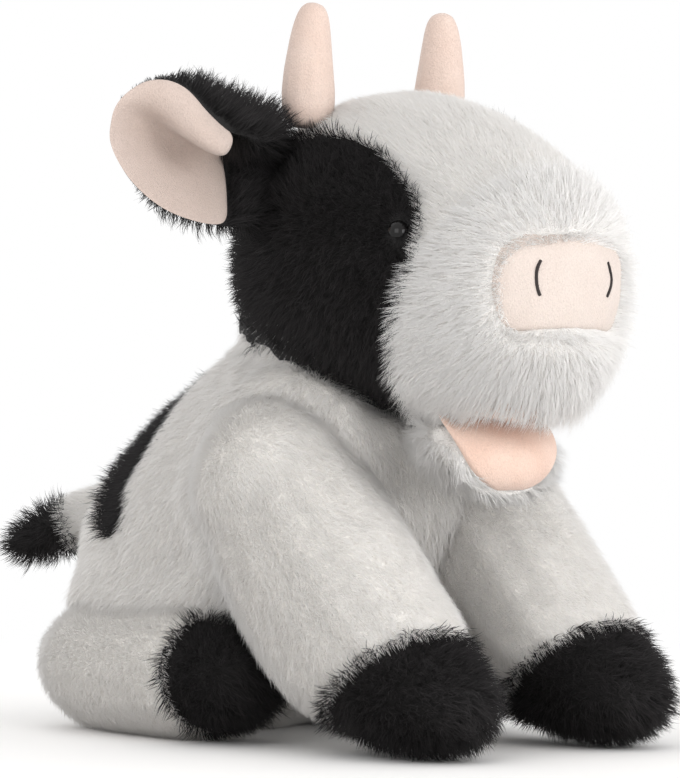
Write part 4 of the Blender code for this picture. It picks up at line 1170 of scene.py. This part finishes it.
@dataclass
class StuffedBody:
    """A stuffed body: one closed skin cut into panels, with the pile that stands on each.

    bare names the nodes of its surface that carry no pile and are pieces of their own, and inner
    its stuffing, which only closes the form. voxel is the size of the skin's faces. bend moves the
    skin's points where the cloth folds over, bends moves those of single nodes, and sinks is how
    much deeper the backing lies under a bare node. trim gives how long the pile is at places, as a
    share of its length, and opening how far places lie outside a smooth panel set into the pile.
    creep is how much longer the pile is where another body meets this one, where the skin also
    rises to the legs.
    """

    body: str
    panels: Sequence[Panel]
    bare: Sequence[str] = ()
    inner: Sequence[str] = ()
    clearings: Sequence[Clearing] = ()
    voxel: float = 0.0025
    bend: Move | None = None
    trim: Move | None = None
    opening: Move | None = None
    bends: dict[str, Move] = field(default_factory=dict)
    sinks: dict[str, float] = field(default_factory=dict)
    creep: float = 0.0

    def shape(self, shop: Workshop) -> None:
        """Make the closed skin and the fields that say which panel each point belongs to."""
        names = [panel.node for panel in self.panels] + list(self.bare)
        outer = shop.form([*names, *self.inner], self.voxel).rounded(SMOOTHING)
        self.reaches = np.stack([shop.reach(name, outer.points, self.bends.get(name)) for name in names])
        nearest = self.reaches.argmin(axis=0)
        tucked = np.array([0.0] * len(self.panels) + [TUCK] * len(self.bare))
        self.nearest = (self.reaches + tucked[:, None]).argmin(axis=0)
        bare = [BARE_INSET + self.sinks.get(name, 0.0) for name in self.bare]
        insets = np.array([panel.inset for panel in self.panels] + bare)
        depth = outer.evened(insets[nearest], SEAM_ROUNDS)
        for clearing in self.clearings:
            depth = EYE_BED + (depth - EYE_BED) * clearing.share(outer.points)
        if self.bend is not None:
            outer = Form(self.bend(outer.points), outer.quads)
        self.skin = outer.moved_in(depth)
        above_floor(self.skin.points)
        shop.skins[self.body] = outer

    def borders(self, index: int) -> Array:
        """Return how far inside a panel each point of the skin lies, negative outside it."""
        others = np.delete(self.reaches, index, axis=0)
        if not len(others):
            return np.full(len(self.skin.points), NEAR)
        return (others.min(axis=0) - self.reaches[index]) * BORDER_SHARE + self.panels[index].overlap

    def dress(self, shop: Workshop) -> None:
        """Make the body's skins and piles."""
        if self.creep:
            near = 1.0 - smooth_step(shop.beyond(self.body, self.skin.points, "leg"), 0.0, FILLET_REACH)
            self.skin = self.skin.moved_in(self.skin.evened(-near * FILLET, FILLET_ROUNDS))
        beyond = shop.beyond(self.body, self.skin.points) + BURIED
        cover = 1.0 + self.creep * (1.0 - smooth_step(beyond, *CREEP_REACH))
        for clearing in self.clearings:
            beyond = np.minimum(beyond, clearing.away(self.skin.points) - clearing.radius)
            cover *= EYE_PILE + (1.0 - EYE_PILE) * clearing.share(self.skin.points)
        if self.trim is not None:
            cover *= self.trim(self.skin.points)
        if self.opening is not None:
            beyond = np.minimum(beyond, self.opening(self.skin.points))
        beyond = np.minimum(beyond, self.skin.points[:, 2] - FLOOR_REACH)
        for index, panel in enumerate(self.panels):
            self.dress_panel(shop, panel, index)
            shop.grow(self.body, panel, self.skin, np.minimum(self.borders(index), beyond), cover)

    def dress_panel(self, shop: Workshop, panel: Panel, index: int) -> None:
        """Make one panel's skin.

        Args:
            shop: the workshop.
            panel: the panel.
            index: its place in the list.
        """
        votes = (self.nearest[self.skin.quads] == index).sum(axis=1)
        skin = form_object(f"{panel.name}_skin", part_of(self.skin, votes >= 2))
        thick = skin.modifiers.new("cloth", "SOLIDIFY")
        thick.thickness = CLOTH_THICKNESS
        thick.offset = -1.0
        settled(skin)
        cloth = shop.material(f"{panel.finish.name} cloth", panel.finish.cloth)
        shop.finish(skin, self.body, panel.slot, cloth, panel.node)


@dataclass
class ClothPiece:
    """A smooth cloth piece made from one node, with its facets rounded away.

    voxel is the size of its faces, puff how far its stuffing swells it, and rounds how often it is
    smoothed. lumps is how much its stuffing bulges, over lengths of lump_size. fill is given for a
    stuffed piece, and bend moves its points. name is what its name adds to the node's.
    """

    node: str
    body: str
    slot: Slot
    finish: Velour | Moulded
    voxel: float = 0.0011
    puff: float = 0.0004
    rounds: int = 24
    lumps: float = 0.0
    lump_size: float = 0.012
    fill: float | None = None
    bend: Move | None = None
    name: str = "cloth"

    def make(self, shop: Workshop) -> Piece:
        """Return the finished piece."""
        form = shop.form([self.node], self.voxel).rounded(self.rounds)
        if self.bend is not None:
            form = Form(self.bend(form.points), form.quads)
        depth = -self.puff + self.lumps * waves(form.points, self.lump_size, len(shop.made))
        form = form.moved_in(depth * np.ones(len(form.points)))
        above_floor(form.points)
        piece = form_object(f"{self.node}_{self.name}", form)
        cloth = shop.material(self.finish.name, self.finish.cloth)
        shop.finish(piece, self.body, self.slot, cloth, self.node)
        return piece


def wadding(node: str, body: str) -> ClothPiece:
    """Return the loose fibre that fills a stuffed body, lumpy and drawn in from its skin."""
    return ClothPiece(
        node, body, Slot.STUFFING, FIBRE,
        voxel=0.0030, puff=-0.0022, rounds=14, lumps=0.0007, lump_size=0.016, fill=0.7,
    )


@dataclass
class Trunk:
    """The seated trunk, its black saddle, and the bag of pellets that weighs it down."""

    body: str = "body"
    flow: Brushed = Brushed((0.0, 0.42, -1.0), (0.0, -0.02, 0.12), 0.45)
    saddle_flow: Brushed = Brushed((0.0, 0.55, -0.75), (0.0, 0.02, 0.13), 0.5)

    def stuffed(self) -> StuffedBody:
        """Return the trunk's skin and pile."""
        return StuffedBody(
            self.body,
            (
                Panel("body_shell", "trunk", WHITE, Slot.WHITE, WHITE_PILE, self.flow, -0.0020),
                Panel("back_patch", "saddle", BLACK, Slot.BLACK, BLACK_PILE, self.saddle_flow, 0.0025),
            ),
            inner=("body_stuffing", "pellet_bag"),
            creep=0.5,
        )

    def dress(self, shop: Workshop) -> None:
        """Make what fills the trunk."""
        wadding("body_stuffing", self.body).make(shop)
        ClothPiece(
            "pellet_bag", self.body, Slot.BAG, CALICO,
            voxel=0.0018, puff=-0.0002, rounds=16, lumps=0.0006, lump_size=0.008, fill=0.5,
        ).make(shop)


def on_ball(centre: Array, radius: float, points: Array) -> Array:
    """Return points drawn on to a ball."""
    return centre + unit(points - centre) * radius


@dataclass
class Head:
    """The big head: crown, long-haired muzzle, black patches, nose, mouth, eyes and horns.

    patch is the middle of a black patch, which its pile is brushed away from. The nose's cloth is
    drawn up to nose_share of its height below nose_top, widened, and set back by nose_sink and, over
    nose_low below its top, by nose_tuck. The front edge of a patch is drawn back by border_back
    within border_band of the height of the eye, ahead of border_front. The pile over the mouth grows
    by chin_growth below chin_heights and ahead of chin_front. What is measured downward or forward
    has its sign turned.
    """

    body: str = "head"
    nose_centre: Place = (0.0, -0.213, 0.187)
    patch: Place = (0.052, -0.100, 0.214)
    nose_top: float = 0.203
    nose_share: float = 0.97
    nose_rise: float = 0.0042
    nose_width: float = 1.05
    nose_sink: float = 0.0020
    nose_bed: float = 0.0032
    nose_tuck: float = 0.0006
    nose_low: Range = (0.020, 0.040)
    eye_gap: float = 0.0022
    eye_fade: float = 0.0120
    eye_shift: Place = (-0.0006, 0.0036, -0.0026)
    border_z: float = 0.203
    border_band: Range = (0.016, 0.036)
    border_front: Range = (0.135, 0.160)
    border_back: float = 0.0075
    chin_growth: float = 0.45
    chin_heights: Range = (-0.152, -0.136)
    chin_front: Range = (0.12, 0.16)

    def stuffed(self) -> StuffedBody:
        """Return the head's skin and pile."""
        back = Brushed((0.0, 0.75, 0.25), self.nose_centre, 0.6)
        spray = Brushed((0.0, 0.30, -0.12), self.nose_centre, 1.0, 0.14, (0.165, 0.030, 1.1))
        panels = [
            Panel("head_shell", "crown", WHITE, Slot.WHITE, CROWN_PILE, back, 0.0042),
            Panel("muzzle", "muzzle", MUZZLE_WHITE, Slot.WHITE, MUZZLE_PILE, spray, 0.0022, 0.0010),
        ]
        for side in Side:
            around = Brushed((0.0, 0.25, -0.1), mirrored(self.patch, side), 0.9, 0.3)
            name = f"patch_{side.word}"
            panels.append(Panel(f"head_{name}", name, BLACK, Slot.BLACK, BLACK_PILE, around, 0.0060))
        return StuffedBody(
            self.body,
            panels,
            bare=("nose_patch", "mouth_lining"),
            inner=("head_stuffing",),
            clearings=[Clearing(tuple(self.eye(side)[0]), self.eye_gap, self.eye_fade) for side in Side],
            trim=self.long_chin,
            bends={"nose_patch": self.shorten_nose, **{panel.node: self.draw_back for panel in panels[2:]}},
            sinks={"nose_patch": self.nose_sink + self.nose_bed},
        )

    def eye(self, side: Side) -> tuple[Array, float]:
        """Return the middle of an eye's bead, pressed into the pile, and its radius."""
        low, high = (np.array(corner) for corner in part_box(f"eye_{side.word}"))
        return (low + high) / 2.0 + np.array(mirrored(self.eye_shift, side)), float(high[2] - low[2]) / 2.0

    def draw_back(self, points: Array) -> Array:
        """Return a patch's points with its front edge drawn back round the eye."""
        moved = points.copy()
        level = 1.0 - smooth_step(np.abs(points[:, 2] - self.border_z), *self.border_band)
        moved[:, 1] += self.border_back * level * smooth_step(-points[:, 1], *self.border_front)
        return moved

    def long_chin(self, points: Array) -> Array:
        """Return how much longer the pile is where it hangs over the mouth."""
        low = smooth_step(-points[:, 2], *self.chin_heights)
        return 1.0 + self.chin_growth * low * smooth_step(-points[:, 1], *self.chin_front)

    def shorten_nose(self, points: Array) -> Array:
        """Return the nose patch's points with its lower edge drawn up under the pile."""
        moved = points.copy()
        below = self.nose_top - points[:, 2]
        moved[:, 0] *= self.nose_width
        moved[:, 1] += self.nose_sink + self.nose_tuck * smooth_step(below, *self.nose_low)
        moved[:, 2] = self.nose_top + self.nose_rise - below * self.nose_share
        return moved

    def dress(self, shop: Workshop) -> None:
        """Make the nose, the mouth, the horns and what fills the head."""
        wadding("head_stuffing", self.body).make(shop)
        shorten = self.shorten_nose
        nose = ClothPiece("nose_patch", self.body, Slot.PINK, NOSE_PINK, puff=0.0003, fill=0.7, bend=shorten)
        roof = ClothPiece("mouth_lining", self.body, Slot.MOUTH, MOUTH_PINK, puff=-0.0012, fill=0.3)
        pieces = [nose, roof]
        for side in Side:
            word = side.word
            stitches = ClothPiece(
                f"nostril_{word}", self.body, Slot.THREAD, THREAD,
                voxel=0.00025, puff=-0.00015, rounds=8, bend=shorten, name="stitches",
            )
            bead = ClothPiece(
                f"eye_{word}", self.body, Slot.EYE, BEAD,
                voxel=0.0004, puff=0.0, rounds=16, bend=partial(on_ball, *self.eye(side)), name="bead",
            )
            horn = ClothPiece(f"horn_{word}", self.body, Slot.PINK, PINK, puff=0.0003, fill=0.9)
            pieces += [horn, stitches, bead]
        for piece in pieces:
            piece.make(shop)
        for side in Side:
            self.carry_over(shop, f"eye_washer_{side.word}", DISC)

    def carry_over(self, shop: Workshop, node: str, finish: Velour | Moulded) -> None:
        """Give a node that keeps its shape its better finish."""
        mesh = shop.frame["nodes"][node].data
        for index in range(len(mesh.materials)):
            mesh.materials[index] = shop.material(finish.name, finish.cloth)
        LOG.info("%s keeps its shape", node)


@dataclass
class Jaw:
    """The small lower jaw, with the pink lip that lines it from chin to mouth.

    Each row of the lip gives its height, where its edge and its middle lie in Y, and half its
    width. Past its edges the lip's curve goes on up to widest, as a square of the width. The pile
    stops lip_rim from the lip, and behind it grows by cheek_growth over cheek_depths.
    """

    body: str = "jaw"
    hinge: Place = (0.0, -0.138, 0.125)
    lip_rows: tuple[tuple[float, float, float, float], ...] = (
        (0.1045, -0.1790, -0.1800, 0.0065),
        (0.1070, -0.1800, -0.1845, 0.0140),
        (0.1115, -0.1800, -0.1875, 0.0200),
        (0.1170, -0.1795, -0.1880, 0.0240),
        (0.1225, -0.1775, -0.1860, 0.0262),
        (0.1285, -0.1730, -0.1800, 0.0275),
        (0.1360, -0.1650, -0.1700, 0.0272),
    )
    lip_columns: int = 9
    lip_thickness: float = 0.0030
    lip_seat: float = 0.0026
    lip_rim: float = 0.0012
    lip_back: float = 0.006
    widest: float = 2.0
    cheek_growth: float = 0.5
    cheek_depths: Range = (-0.176, -0.156)

    def lip_line(self, heights: Array) -> Array:
        """Return the lip's edge, middle and half width at heights, as rows of three numbers."""
        rows = np.array(self.lip_rows)
        return np.stack([np.interp(heights, rows[:, 0], rows[:, axis]) for axis in (1, 2, 3)])

    def lip_front(self, across: Array, heights: Array) -> Array:
        """Return the lip's Y at places across it and up it."""
        edge, middle, half = self.lip_line(heights)
        share = np.minimum((across / half) ** 2, self.widest)
        return middle + (edge - middle) * share

    def seat(self, points: Array) -> Array:
        """Return the jaw's points, held behind the lip that covers them."""
        moved = points.copy()
        back = self.lip_front(points[:, 0], points[:, 2]) + self.lip_seat
        moved[:, 1] = np.maximum(points[:, 1], back)
        return moved

    def clear_of_lip(self, points: Array) -> Array:
        """Return how far points of the jaw lie outside the lip."""
        half = self.lip_line(points[:, 2])[2]
        outside = np.maximum(np.abs(points[:, 0]) - half, self.lip_rows[0][0] - points[:, 2])
        behind = points[:, 1] - self.lip_rows[-1][1] - self.lip_back
        return np.maximum(outside + self.lip_rim, behind)

    def stuffed(self) -> StuffedBody:
        """Return the jaw's skin and pile."""
        flow = Brushed((0.0, 0.1, -0.35), self.hinge, 1.0)
        panel = Panel("lower_jaw", "jaw", MUZZLE_WHITE, Slot.WHITE, MUZZLE_PILE, flow, 0.0010)
        return StuffedBody(
            self.body, (panel,), inner=("lip_lining",), voxel=0.0020, bend=self.seat,
            trim=self.long_cheeks, opening=self.clear_of_lip,
        )

    def long_cheeks(self, points: Array) -> Array:
        """Return how much longer the pile is behind the lip."""
        return 1.0 + self.cheek_growth * smooth_step(points[:, 1], *self.cheek_depths)

    def dress(self, shop: Workshop) -> None:
        """Make the lip, a thin pad whose edge is sewn down all round."""
        rows = np.array(self.lip_rows)
        shares = np.sin(np.linspace(-math.pi / 2.0, math.pi / 2.0, self.lip_columns))
        front = []
        for height, _, _, half in rows:
            across = shares * half
            depths = self.lip_front(across, np.full(len(across), height))
            front += [(x, y, height) for x, y in zip(across, depths)]
        sheet = np.array(front).reshape(len(rows), len(shares), 3)
        piece = pad("lip", sheet, sheet + np.array((0.0, self.lip_thickness, 0.0)))
        cloth = shop.material(MOUTH_PINK.name, MOUTH_PINK.cloth)
        shop.finish(piece, self.body, Slot.MOUTH, cloth, "lip_lining")


PAD_LEVELS = 3


def pad(name: str, front: Array, back: Array) -> Piece:
    """Return a thin soft pad between two sheets of points.

    Args:
        name: the piece's name.
        front: rows by columns of places on its front.
        back: the places behind them.
    Returns:
        The piece.
    """
    rows, columns, _ = front.shape
    shape = bmesh.new()
    sheets = [[[shape.verts.new(spot) for spot in row] for row in sheet] for sheet in (front, back)]
    for row in range(rows - 1):
        for column in range(columns - 1):
            for sheet, way in ((sheets[0], 1), (sheets[1], -1)):
                ring = (
                    sheet[row][column], sheet[row][column + 1],
                    sheet[row + 1][column + 1], sheet[row + 1][column],
                )
                shape.faces.new(ring[::way])
    rim = [(0, column) for column in range(columns)]
    rim += [(row, columns - 1) for row in range(1, rows)]
    rim += [(rows - 1, column) for column in range(columns - 2, -1, -1)]
    rim += [(row, 0) for row in range(rows - 2, 0, -1)]
    for (row, column), (after_row, after_column) in zip(rim, rim[1:] + rim[:1]):
        shape.faces.new(
            (
                sheets[0][after_row][after_column], sheets[0][row][column],
                sheets[1][row][column], sheets[1][after_row][after_column],
            )
        )
    bmesh.ops.recalc_face_normals(shape, faces=shape.faces)
    mesh = bpy.data.meshes.new(name)
    shape.to_mesh(mesh)
    shape.free()
    piece = placed(name, mesh)
    piece.modifiers.new("rounded", "SUBSURF").levels = PAD_LEVELS
    settled(piece)
    piece.data.shade_smooth()
    return piece


EAR_PLACES = (
    -12, -20, 4, -12, -12, 0, -12, -5, -4, -12, 0, -4, -10, 6, 2, -8, 8, 8, -8, 11, 9, -8, 13, 9,
    -12, -21, 1, -12, -13, -7, -12, -4, -10, -13, 6, -10, -13, 14, -8, -13, 19, -3, -13, 19, 2, -11, 17, 6,
    10, -26, 8, 6, -14, 1, 3, -6, -3, 3, 0, -4, 5, 6, 4, 12, 5, 12, 12, 8, 15, 12, 11, 14,
    10, -26, 3, 7, -15, -6, 5, -5, -11, 3, 8, -12, 2, 18, -8, 2, 24, -1, 5, 22, 6, 10, 16, 11,
    20, -27, 9, 15, -15, 2, 11, -6, -4, 11, 1, -7, 16, 6, -1, 27, -2, 17, 27, 3, 20, 26, 7, 18,
    19, -26, 5, 14, -16, -5, 10, -5, -11, 9, 8, -14, 10, 20, -10, 11, 26, -1, 15, 23, 8, 23, 11, 15,
    37, -25, 9, 33, -14, 3, 29, -4, -5, 28, 4, -10, 31, 12, -6, 38, 1, 16, 36, 8, 20, 34, 14, 17,
    36, -24, 5, 32, -15, -4, 29, -3, -12, 27, 11, -16, 25, 25, -12, 24, 30, -3, 27, 27, 8, 32, 18, 14,
    50, -21, 7, 46, -11, 2, 42, -1, -5, 42, 8, -10, 43, 17, -7, 45, 7, 14, 42, 15, 18, 39, 22, 15,
    49, -20, 4, 46, -12, -4, 42, 0, -12, 40, 14, -16, 38, 27, -12, 34, 33, -3, 35, 31, 6, 38, 25, 12,
    59, -15, 5, 54, -6, 1, 51, 3, -5, 51, 11, -8, 50, 20, -5, 49, 15, 9, 46, 24, 14, 43, 29, 11,
    58, -14, 2, 55, -7, -5, 51, 4, -10, 50, 17, -12, 47, 28, -10, 44, 34, -3, 43, 34, 4, 42, 30, 9,
    67, -7, 3, 62, 0, -1, 60, 7, -5, 59, 14, -7, 58, 20, -5, 55, 23, 4, 52, 29, 9, 50, 33, 7,
    66, -6, 0, 62, 0, -5, 60, 8, -9, 58, 17, -10, 56, 26, -8, 53, 32, -3, 51, 33, 2, 49, 32, 5,
    71, 2, 0, 73, 6, 0, 73, 10, -1, 72, 15, -1, 71, 20, -1, 68, 25, 0, 64, 29, 2, 58, 32, 4,
    69, 3, -2, 71, 7, -2, 71, 10, -3, 70, 15, -3, 69, 19, -3, 66, 24, -2, 62, 27, 1, 57, 31, 3,
)
EAR_SHAPE = (8, 2, 8, 3)
EAR_STEM = 2


@dataclass
class Ear:
    """One ear: black pile behind, pink velour in front, its upper edge rolled forward as a lobe.

    Each two lines of EAR_PLACES cross the ear, the last two at its tip, first along the front and
    then along the back. Their eight places, in millimetres out along the ear, up and ahead of the
    root, run from the lower rim through the cup and round the roll. The first EAR_STEM pairs are
    black all round. The pile is long_share of its length on the stem and loses thinning of it over
    thin_reach out along the ear, which starts low_start sooner over low_reach below the root.
    """

    side: Side
    root: Place = (0.0575, -0.088, 0.236)
    lift: Range = (0.0, math.radians(-17.0))
    sweep: Range = (math.radians(2.0), math.radians(32.0))
    bare_rim: float = 0.0012
    pile: Pile = TUFT_PILE
    tip: Range = (0.070, 0.004)
    brushed: Range = (0.35, -0.25)
    away: float = 0.8
    long_share: float = 1.15
    thinning: float = 0.85
    thin_reach: Range = (0.030, 0.048)
    low_reach: Range = (0.002, 0.014)
    low_start: float = 0.016

    @property
    def body(self) -> str:
        """The ear's body."""
        return f"ear_{self.side.word}"

    def axes(self) -> Array:
        """Return the ways that the ear points, rises and faces, as rows."""
        pick = 0 if self.side is Side.RIGHT else 1
        sign, sweep, lift = self.side.value, self.sweep[pick], self.lift[pick]
        level = np.array((sign * math.cos(sweep), math.sin(sweep), 0.0))
        outward = level * math.cos(lift) + np.array((0.0, 0.0, math.sin(lift)))
        upward = np.array((0.0, 0.0, math.cos(lift))) - level * math.sin(lift)
        return np.stack((outward, upward, np.cross(upward, outward) * -sign))

    def origin(self) -> Array:
        """Return the ear's root."""
        return np.array(mirrored(self.root, self.side))

    def shape(self, shop: Workshop) -> None:
        """Make the ear's two cloths, which meet half way between its two faces."""
        places = np.array(EAR_PLACES).reshape(EAR_SHAPE) / 1000.0
        faces = self.origin() + places @ self.axes()
        front, back = faces[:, 0], faces[:, 1]
        middle = (front + back) / 2.0
        middle[:EAR_STEM] = front[:EAR_STEM]
        word = self.side.word
        outer = faces[EAR_STEM:]
        self.lining = pad(f"ear_lining_{word}_cloth", outer[:, 0], outer.mean(axis=1))
        self.cloth = pad(f"ear_{word}_skin", middle, back)
        shop.skins[self.body] = read_form(self.cloth.data)

    def dress(self, shop: Workshop) -> None:
        """Finish the two cloths and grow the pile behind."""
        word = self.side.word
        # The lining takes the darker ear copy of the pink velour: painted shade.
        pink = shop.material(PAINTED_SHADE_EAR_PINK.name, PAINTED_SHADE_EAR_PINK.cloth)
        black = shop.material(f"{BLACK.name} cloth", BLACK.cloth)
        shop.finish(self.lining, self.body, Slot.PINK, pink, f"ear_lining_{word}")
        shop.finish(self.cloth, self.body, Slot.BLACK, black, f"ear_back_{word}")
        skin = shop.skins[self.body]
        lining = BVHTree.FromObject(self.lining, bpy.context.evaluated_depsgraph_get())
        edge = nearest_gaps(lining, skin.points) - self.bare_rim
        edge = np.minimum(edge, shop.beyond(self.body, skin.points) + BURIED)
        outward, upward, ahead = self.axes()
        along, rise, _ = ((skin.points - self.origin()) @ self.axes().T).T
        start = along - smooth_step(-rise, *self.low_reach) * self.low_start
        cover = self.long_share - self.thinning * smooth_step(start, *self.thin_reach)
        tip = self.origin() + outward * self.tip[0] + ahead * self.tip[1]
        way = upward * self.brushed[0] + ahead * self.brushed[1]
        flow = Brushed(tuple(way), tuple(tip), self.away)
        panel = Panel(f"ear_back_{word}", self.body, BLACK, Slot.BLACK, self.pile, flow, 0.0)
        shop.grow(self.body, panel, skin, edge, cover)


@dataclass
class Leg:
    """One leg: a white sleeve with a black end.

    stem is what the names of its body, its sleeve and its stuffing begin with, and end that of its
    end's node. The pile runs from root, falling by fall, and sprays from end_centre.
    """

    side: Side
    stem: str
    end: str
    root: Place
    end_centre: Place
    fall: float

    @property
    def body(self) -> str:
        """The leg's body."""
        return f"{self.stem}_{self.side.word}"

    def stuffed(self) -> StuffedBody:
        """Return the leg's skin and pile."""
        end = f"{self.end}_{self.side.word}"
        along = Brushed((0.0, -0.35, self.fall), mirrored(self.root, self.side), 1.0)
        spray = Brushed((0.0, -0.15, -0.25), mirrored(self.end_centre, self.side), 0.9, 0.3)
        return StuffedBody(
            self.body,
            (
                Panel(self.body, self.body, WHITE, Slot.WHITE, WHITE_PILE, along, 0.0010),
                Panel(end, end, BLACK, Slot.BLACK, TUFT_PILE, spray, 0.0058),
            ),
            inner=(f"{self.stem}_stuffing_{self.side.word}",),
        )

    def dress(self, shop: Workshop) -> None:
        """Make what fills the leg."""
        wadding(f"{self.stem}_stuffing_{self.side.word}", self.body).make(shop)


def legs(side: Side) -> list[Leg]:
    """Return the foreleg and the hind leg of a side, with their ends."""
    return [
        Leg(side, "foreleg", "front_hoof", (0.050, -0.060, 0.125), (0.047, -0.160, 0.030), fall=-0.2),
        Leg(side, "hind_leg", "hind_foot", (0.050, 0.060, 0.030), (0.061, -0.060, 0.028), fall=-0.55),
    ]


@dataclass
class Tail:
    """The short tail with its black tuft."""

    body: str = "tail"

    def stuffed(self) -> StuffedBody:
        """Return the tail's skin and pile."""
        along = Brushed((-0.3, 0.8, -0.3), (0.0, 0.04, 0.094), 0.5)
        spray = Brushed((-0.3, 0.3, -0.2), (-0.030, 0.095, 0.084), 0.9, 0.3)
        pile = replace(WHITE_PILE, length=0.0070)
        return StuffedBody(
            self.body,
            (
                Panel("tail", "tail", WHITE, Slot.WHITE, pile, along, 0.0035),
                Panel("tail_tuft", "tuft", BLACK, Slot.BLACK, TUFT_PILE, spray, 0.0050),
            ),
            voxel=0.0020,
        )

    def dress(self, shop: Workshop) -> None:
        """The tail holds nothing more."""


@dataclass
class Studio:
    """A plain pale floor, soft lamps and the camera at the photograph's angle."""

    eye: Place = (-1.0777, -1.3563, 0.144)
    turn: float = math.radians(-40.0)
    lens: float = 185.1
    sensor: float = 36.0
    shift: float = 0.0032
    floor_half: float = 4.0
    near: float = 0.22
    far: float = 0.62
    floor_colour: Colour = (0.93, 0.92, 0.91)
    sky: float = 1.0
    lamps: tuple[tuple[Place, float, float], ...] = (
        ((0.2, -2.2, 0.45), 1.4, 25.0),
        ((-1.7, -0.9, 0.7), 1.2, 8.0),
        ((1.6, -1.7, 0.35), 1.2, 8.0),
        ((0.4, 1.4, 1.6), 1.4, 3.0),
    )
    aim: Place = (0.0, -0.05, 0.13)

    def camera(self) -> None:
        """Set up the camera."""
        data = bpy.data.cameras.new("studio camera")
        data.sensor_fit = "VERTICAL"
        data.sensor_height = self.sensor
        data.lens = self.lens
        data.shift_y = self.shift
        camera = placed("studio camera", data)
        camera.location = self.eye
        camera.rotation_euler = (math.pi / 2.0, 0.0, self.turn)
        bpy.context.scene.camera = camera

    def floor(self) -> None:
        """Lay the floor, which turns to plain white away from the cow."""
        half = self.floor_half
        mesh = bpy.data.meshes.new("floor")
        spots = ((-half, -half), (half, -half), (half, half), (-half, half))
        mesh.from_pydata([(*spot, 0.0) for spot in spots], [], [(0, 1, 2, 3)])
        mesh.materials.append(self.floor_material())
        placed("floor", mesh)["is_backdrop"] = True

    def floor_material(self) -> Material:
        """Return the floor's material: pale card near the cow, white beyond for the camera."""
        made = bpy.data.materials.new("pale_card")
        made.use_nodes = True
        wiring = Wiring(made.node_tree)
        shader = made.node_tree.nodes["Principled BSDF"]
        shader.inputs["Base Color"].default_value = (*self.floor_colour, 1.0)
        shader.inputs["Roughness"].default_value = 0.9
        place = wiring.add("ShaderNodeTexCoord")
        length = wiring.add("ShaderNodeVectorMath", operation="LENGTH")
        wiring.join(place.outputs["Object"], length.inputs[0])
        far = wiring.ranged(
            length.outputs["Value"], interpolation_type="SMOOTHSTEP", from_min=self.near, from_max=self.far
        )
        share = wiring.maths("MULTIPLY", far, seen_rays(wiring))
        wiring.show_both(share, shader, wiring.add("ShaderNodeEmission"))
        return made

    def light(self) -> None:
        """Hang the lamps and set the sky."""
        for index, (place, size, power) in enumerate(self.lamps):
            data = bpy.data.lights.new(f"soft lamp {index + 1}", "AREA")
            data.size = size
            data.energy = power
            lamp = placed(data.name, data)
            lamp.location = place
            lamp.rotation_euler = (Vector(self.aim) - Vector(place)).to_track_quat("-Z", "Y").to_euler()
        world = bpy.data.worlds.new("studio")
        bpy.context.scene.world = world
        world.use_nodes = True
        wiring = Wiring(world.node_tree)
        back = world.node_tree.nodes["Background"]
        back.inputs["Color"].default_value = (1.0, 1.0, 1.0, 1.0)
        strength = wiring.ranged(seen_rays(wiring), to_min=self.sky, to_max=1.0)
        wiring.join(strength, back.inputs["Strength"])

    def build(self) -> None:
        """Set up the whole studio."""
        self.camera()
        self.floor()
        self.light()
        bpy.context.scene.view_settings.view_transform = "Standard"


def seen_rays(wiring: Wiring) -> Socket:
    """Return 1 for rays that show the surroundings, and 0 for those that light the cow."""
    path = wiring.add("ShaderNodeLightPath")
    total = wiring.maths("ADD", path.outputs["Is Camera Ray"], path.outputs["Is Glossy Ray"])
    total = wiring.maths("ADD", total, path.outputs["Is Transmission Ray"])
    return wiring.maths("MINIMUM", total, 1.0)


def corners(box: Sequence[Vector]) -> list[list[float]]:
    """Return a box as plain lists of numbers."""
    return [[float(value) for value in corner] for corner in box]


def main() -> None:
    """Dress the cow and set up its studio."""
    logging.basicConfig(level=logging.INFO, format="%(message)s")
    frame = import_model()
    cad_box = corners(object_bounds())
    shop = Workshop(frame, {}, [], {})
    Studio().build()
    assemblies = [Trunk(), Head(), Jaw(), Tail()]
    for side in Side:
        assemblies += legs(side)
    ears = [Ear(side) for side in Side]
    stuffed = [*(assembly.stuffed() for assembly in assemblies), *ears]
    for shell in stuffed:
        shell.shape(shop)
    for shell in stuffed:
        shell.dress(shop)
    for assembly in assemblies:
        assembly.dress(shop)
    LOG.info("%d pieces made", len(shop.made))
    json.dumps({"cad": cad_box, "visual": corners(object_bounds())})


if __name__ == "__main__":
    main()
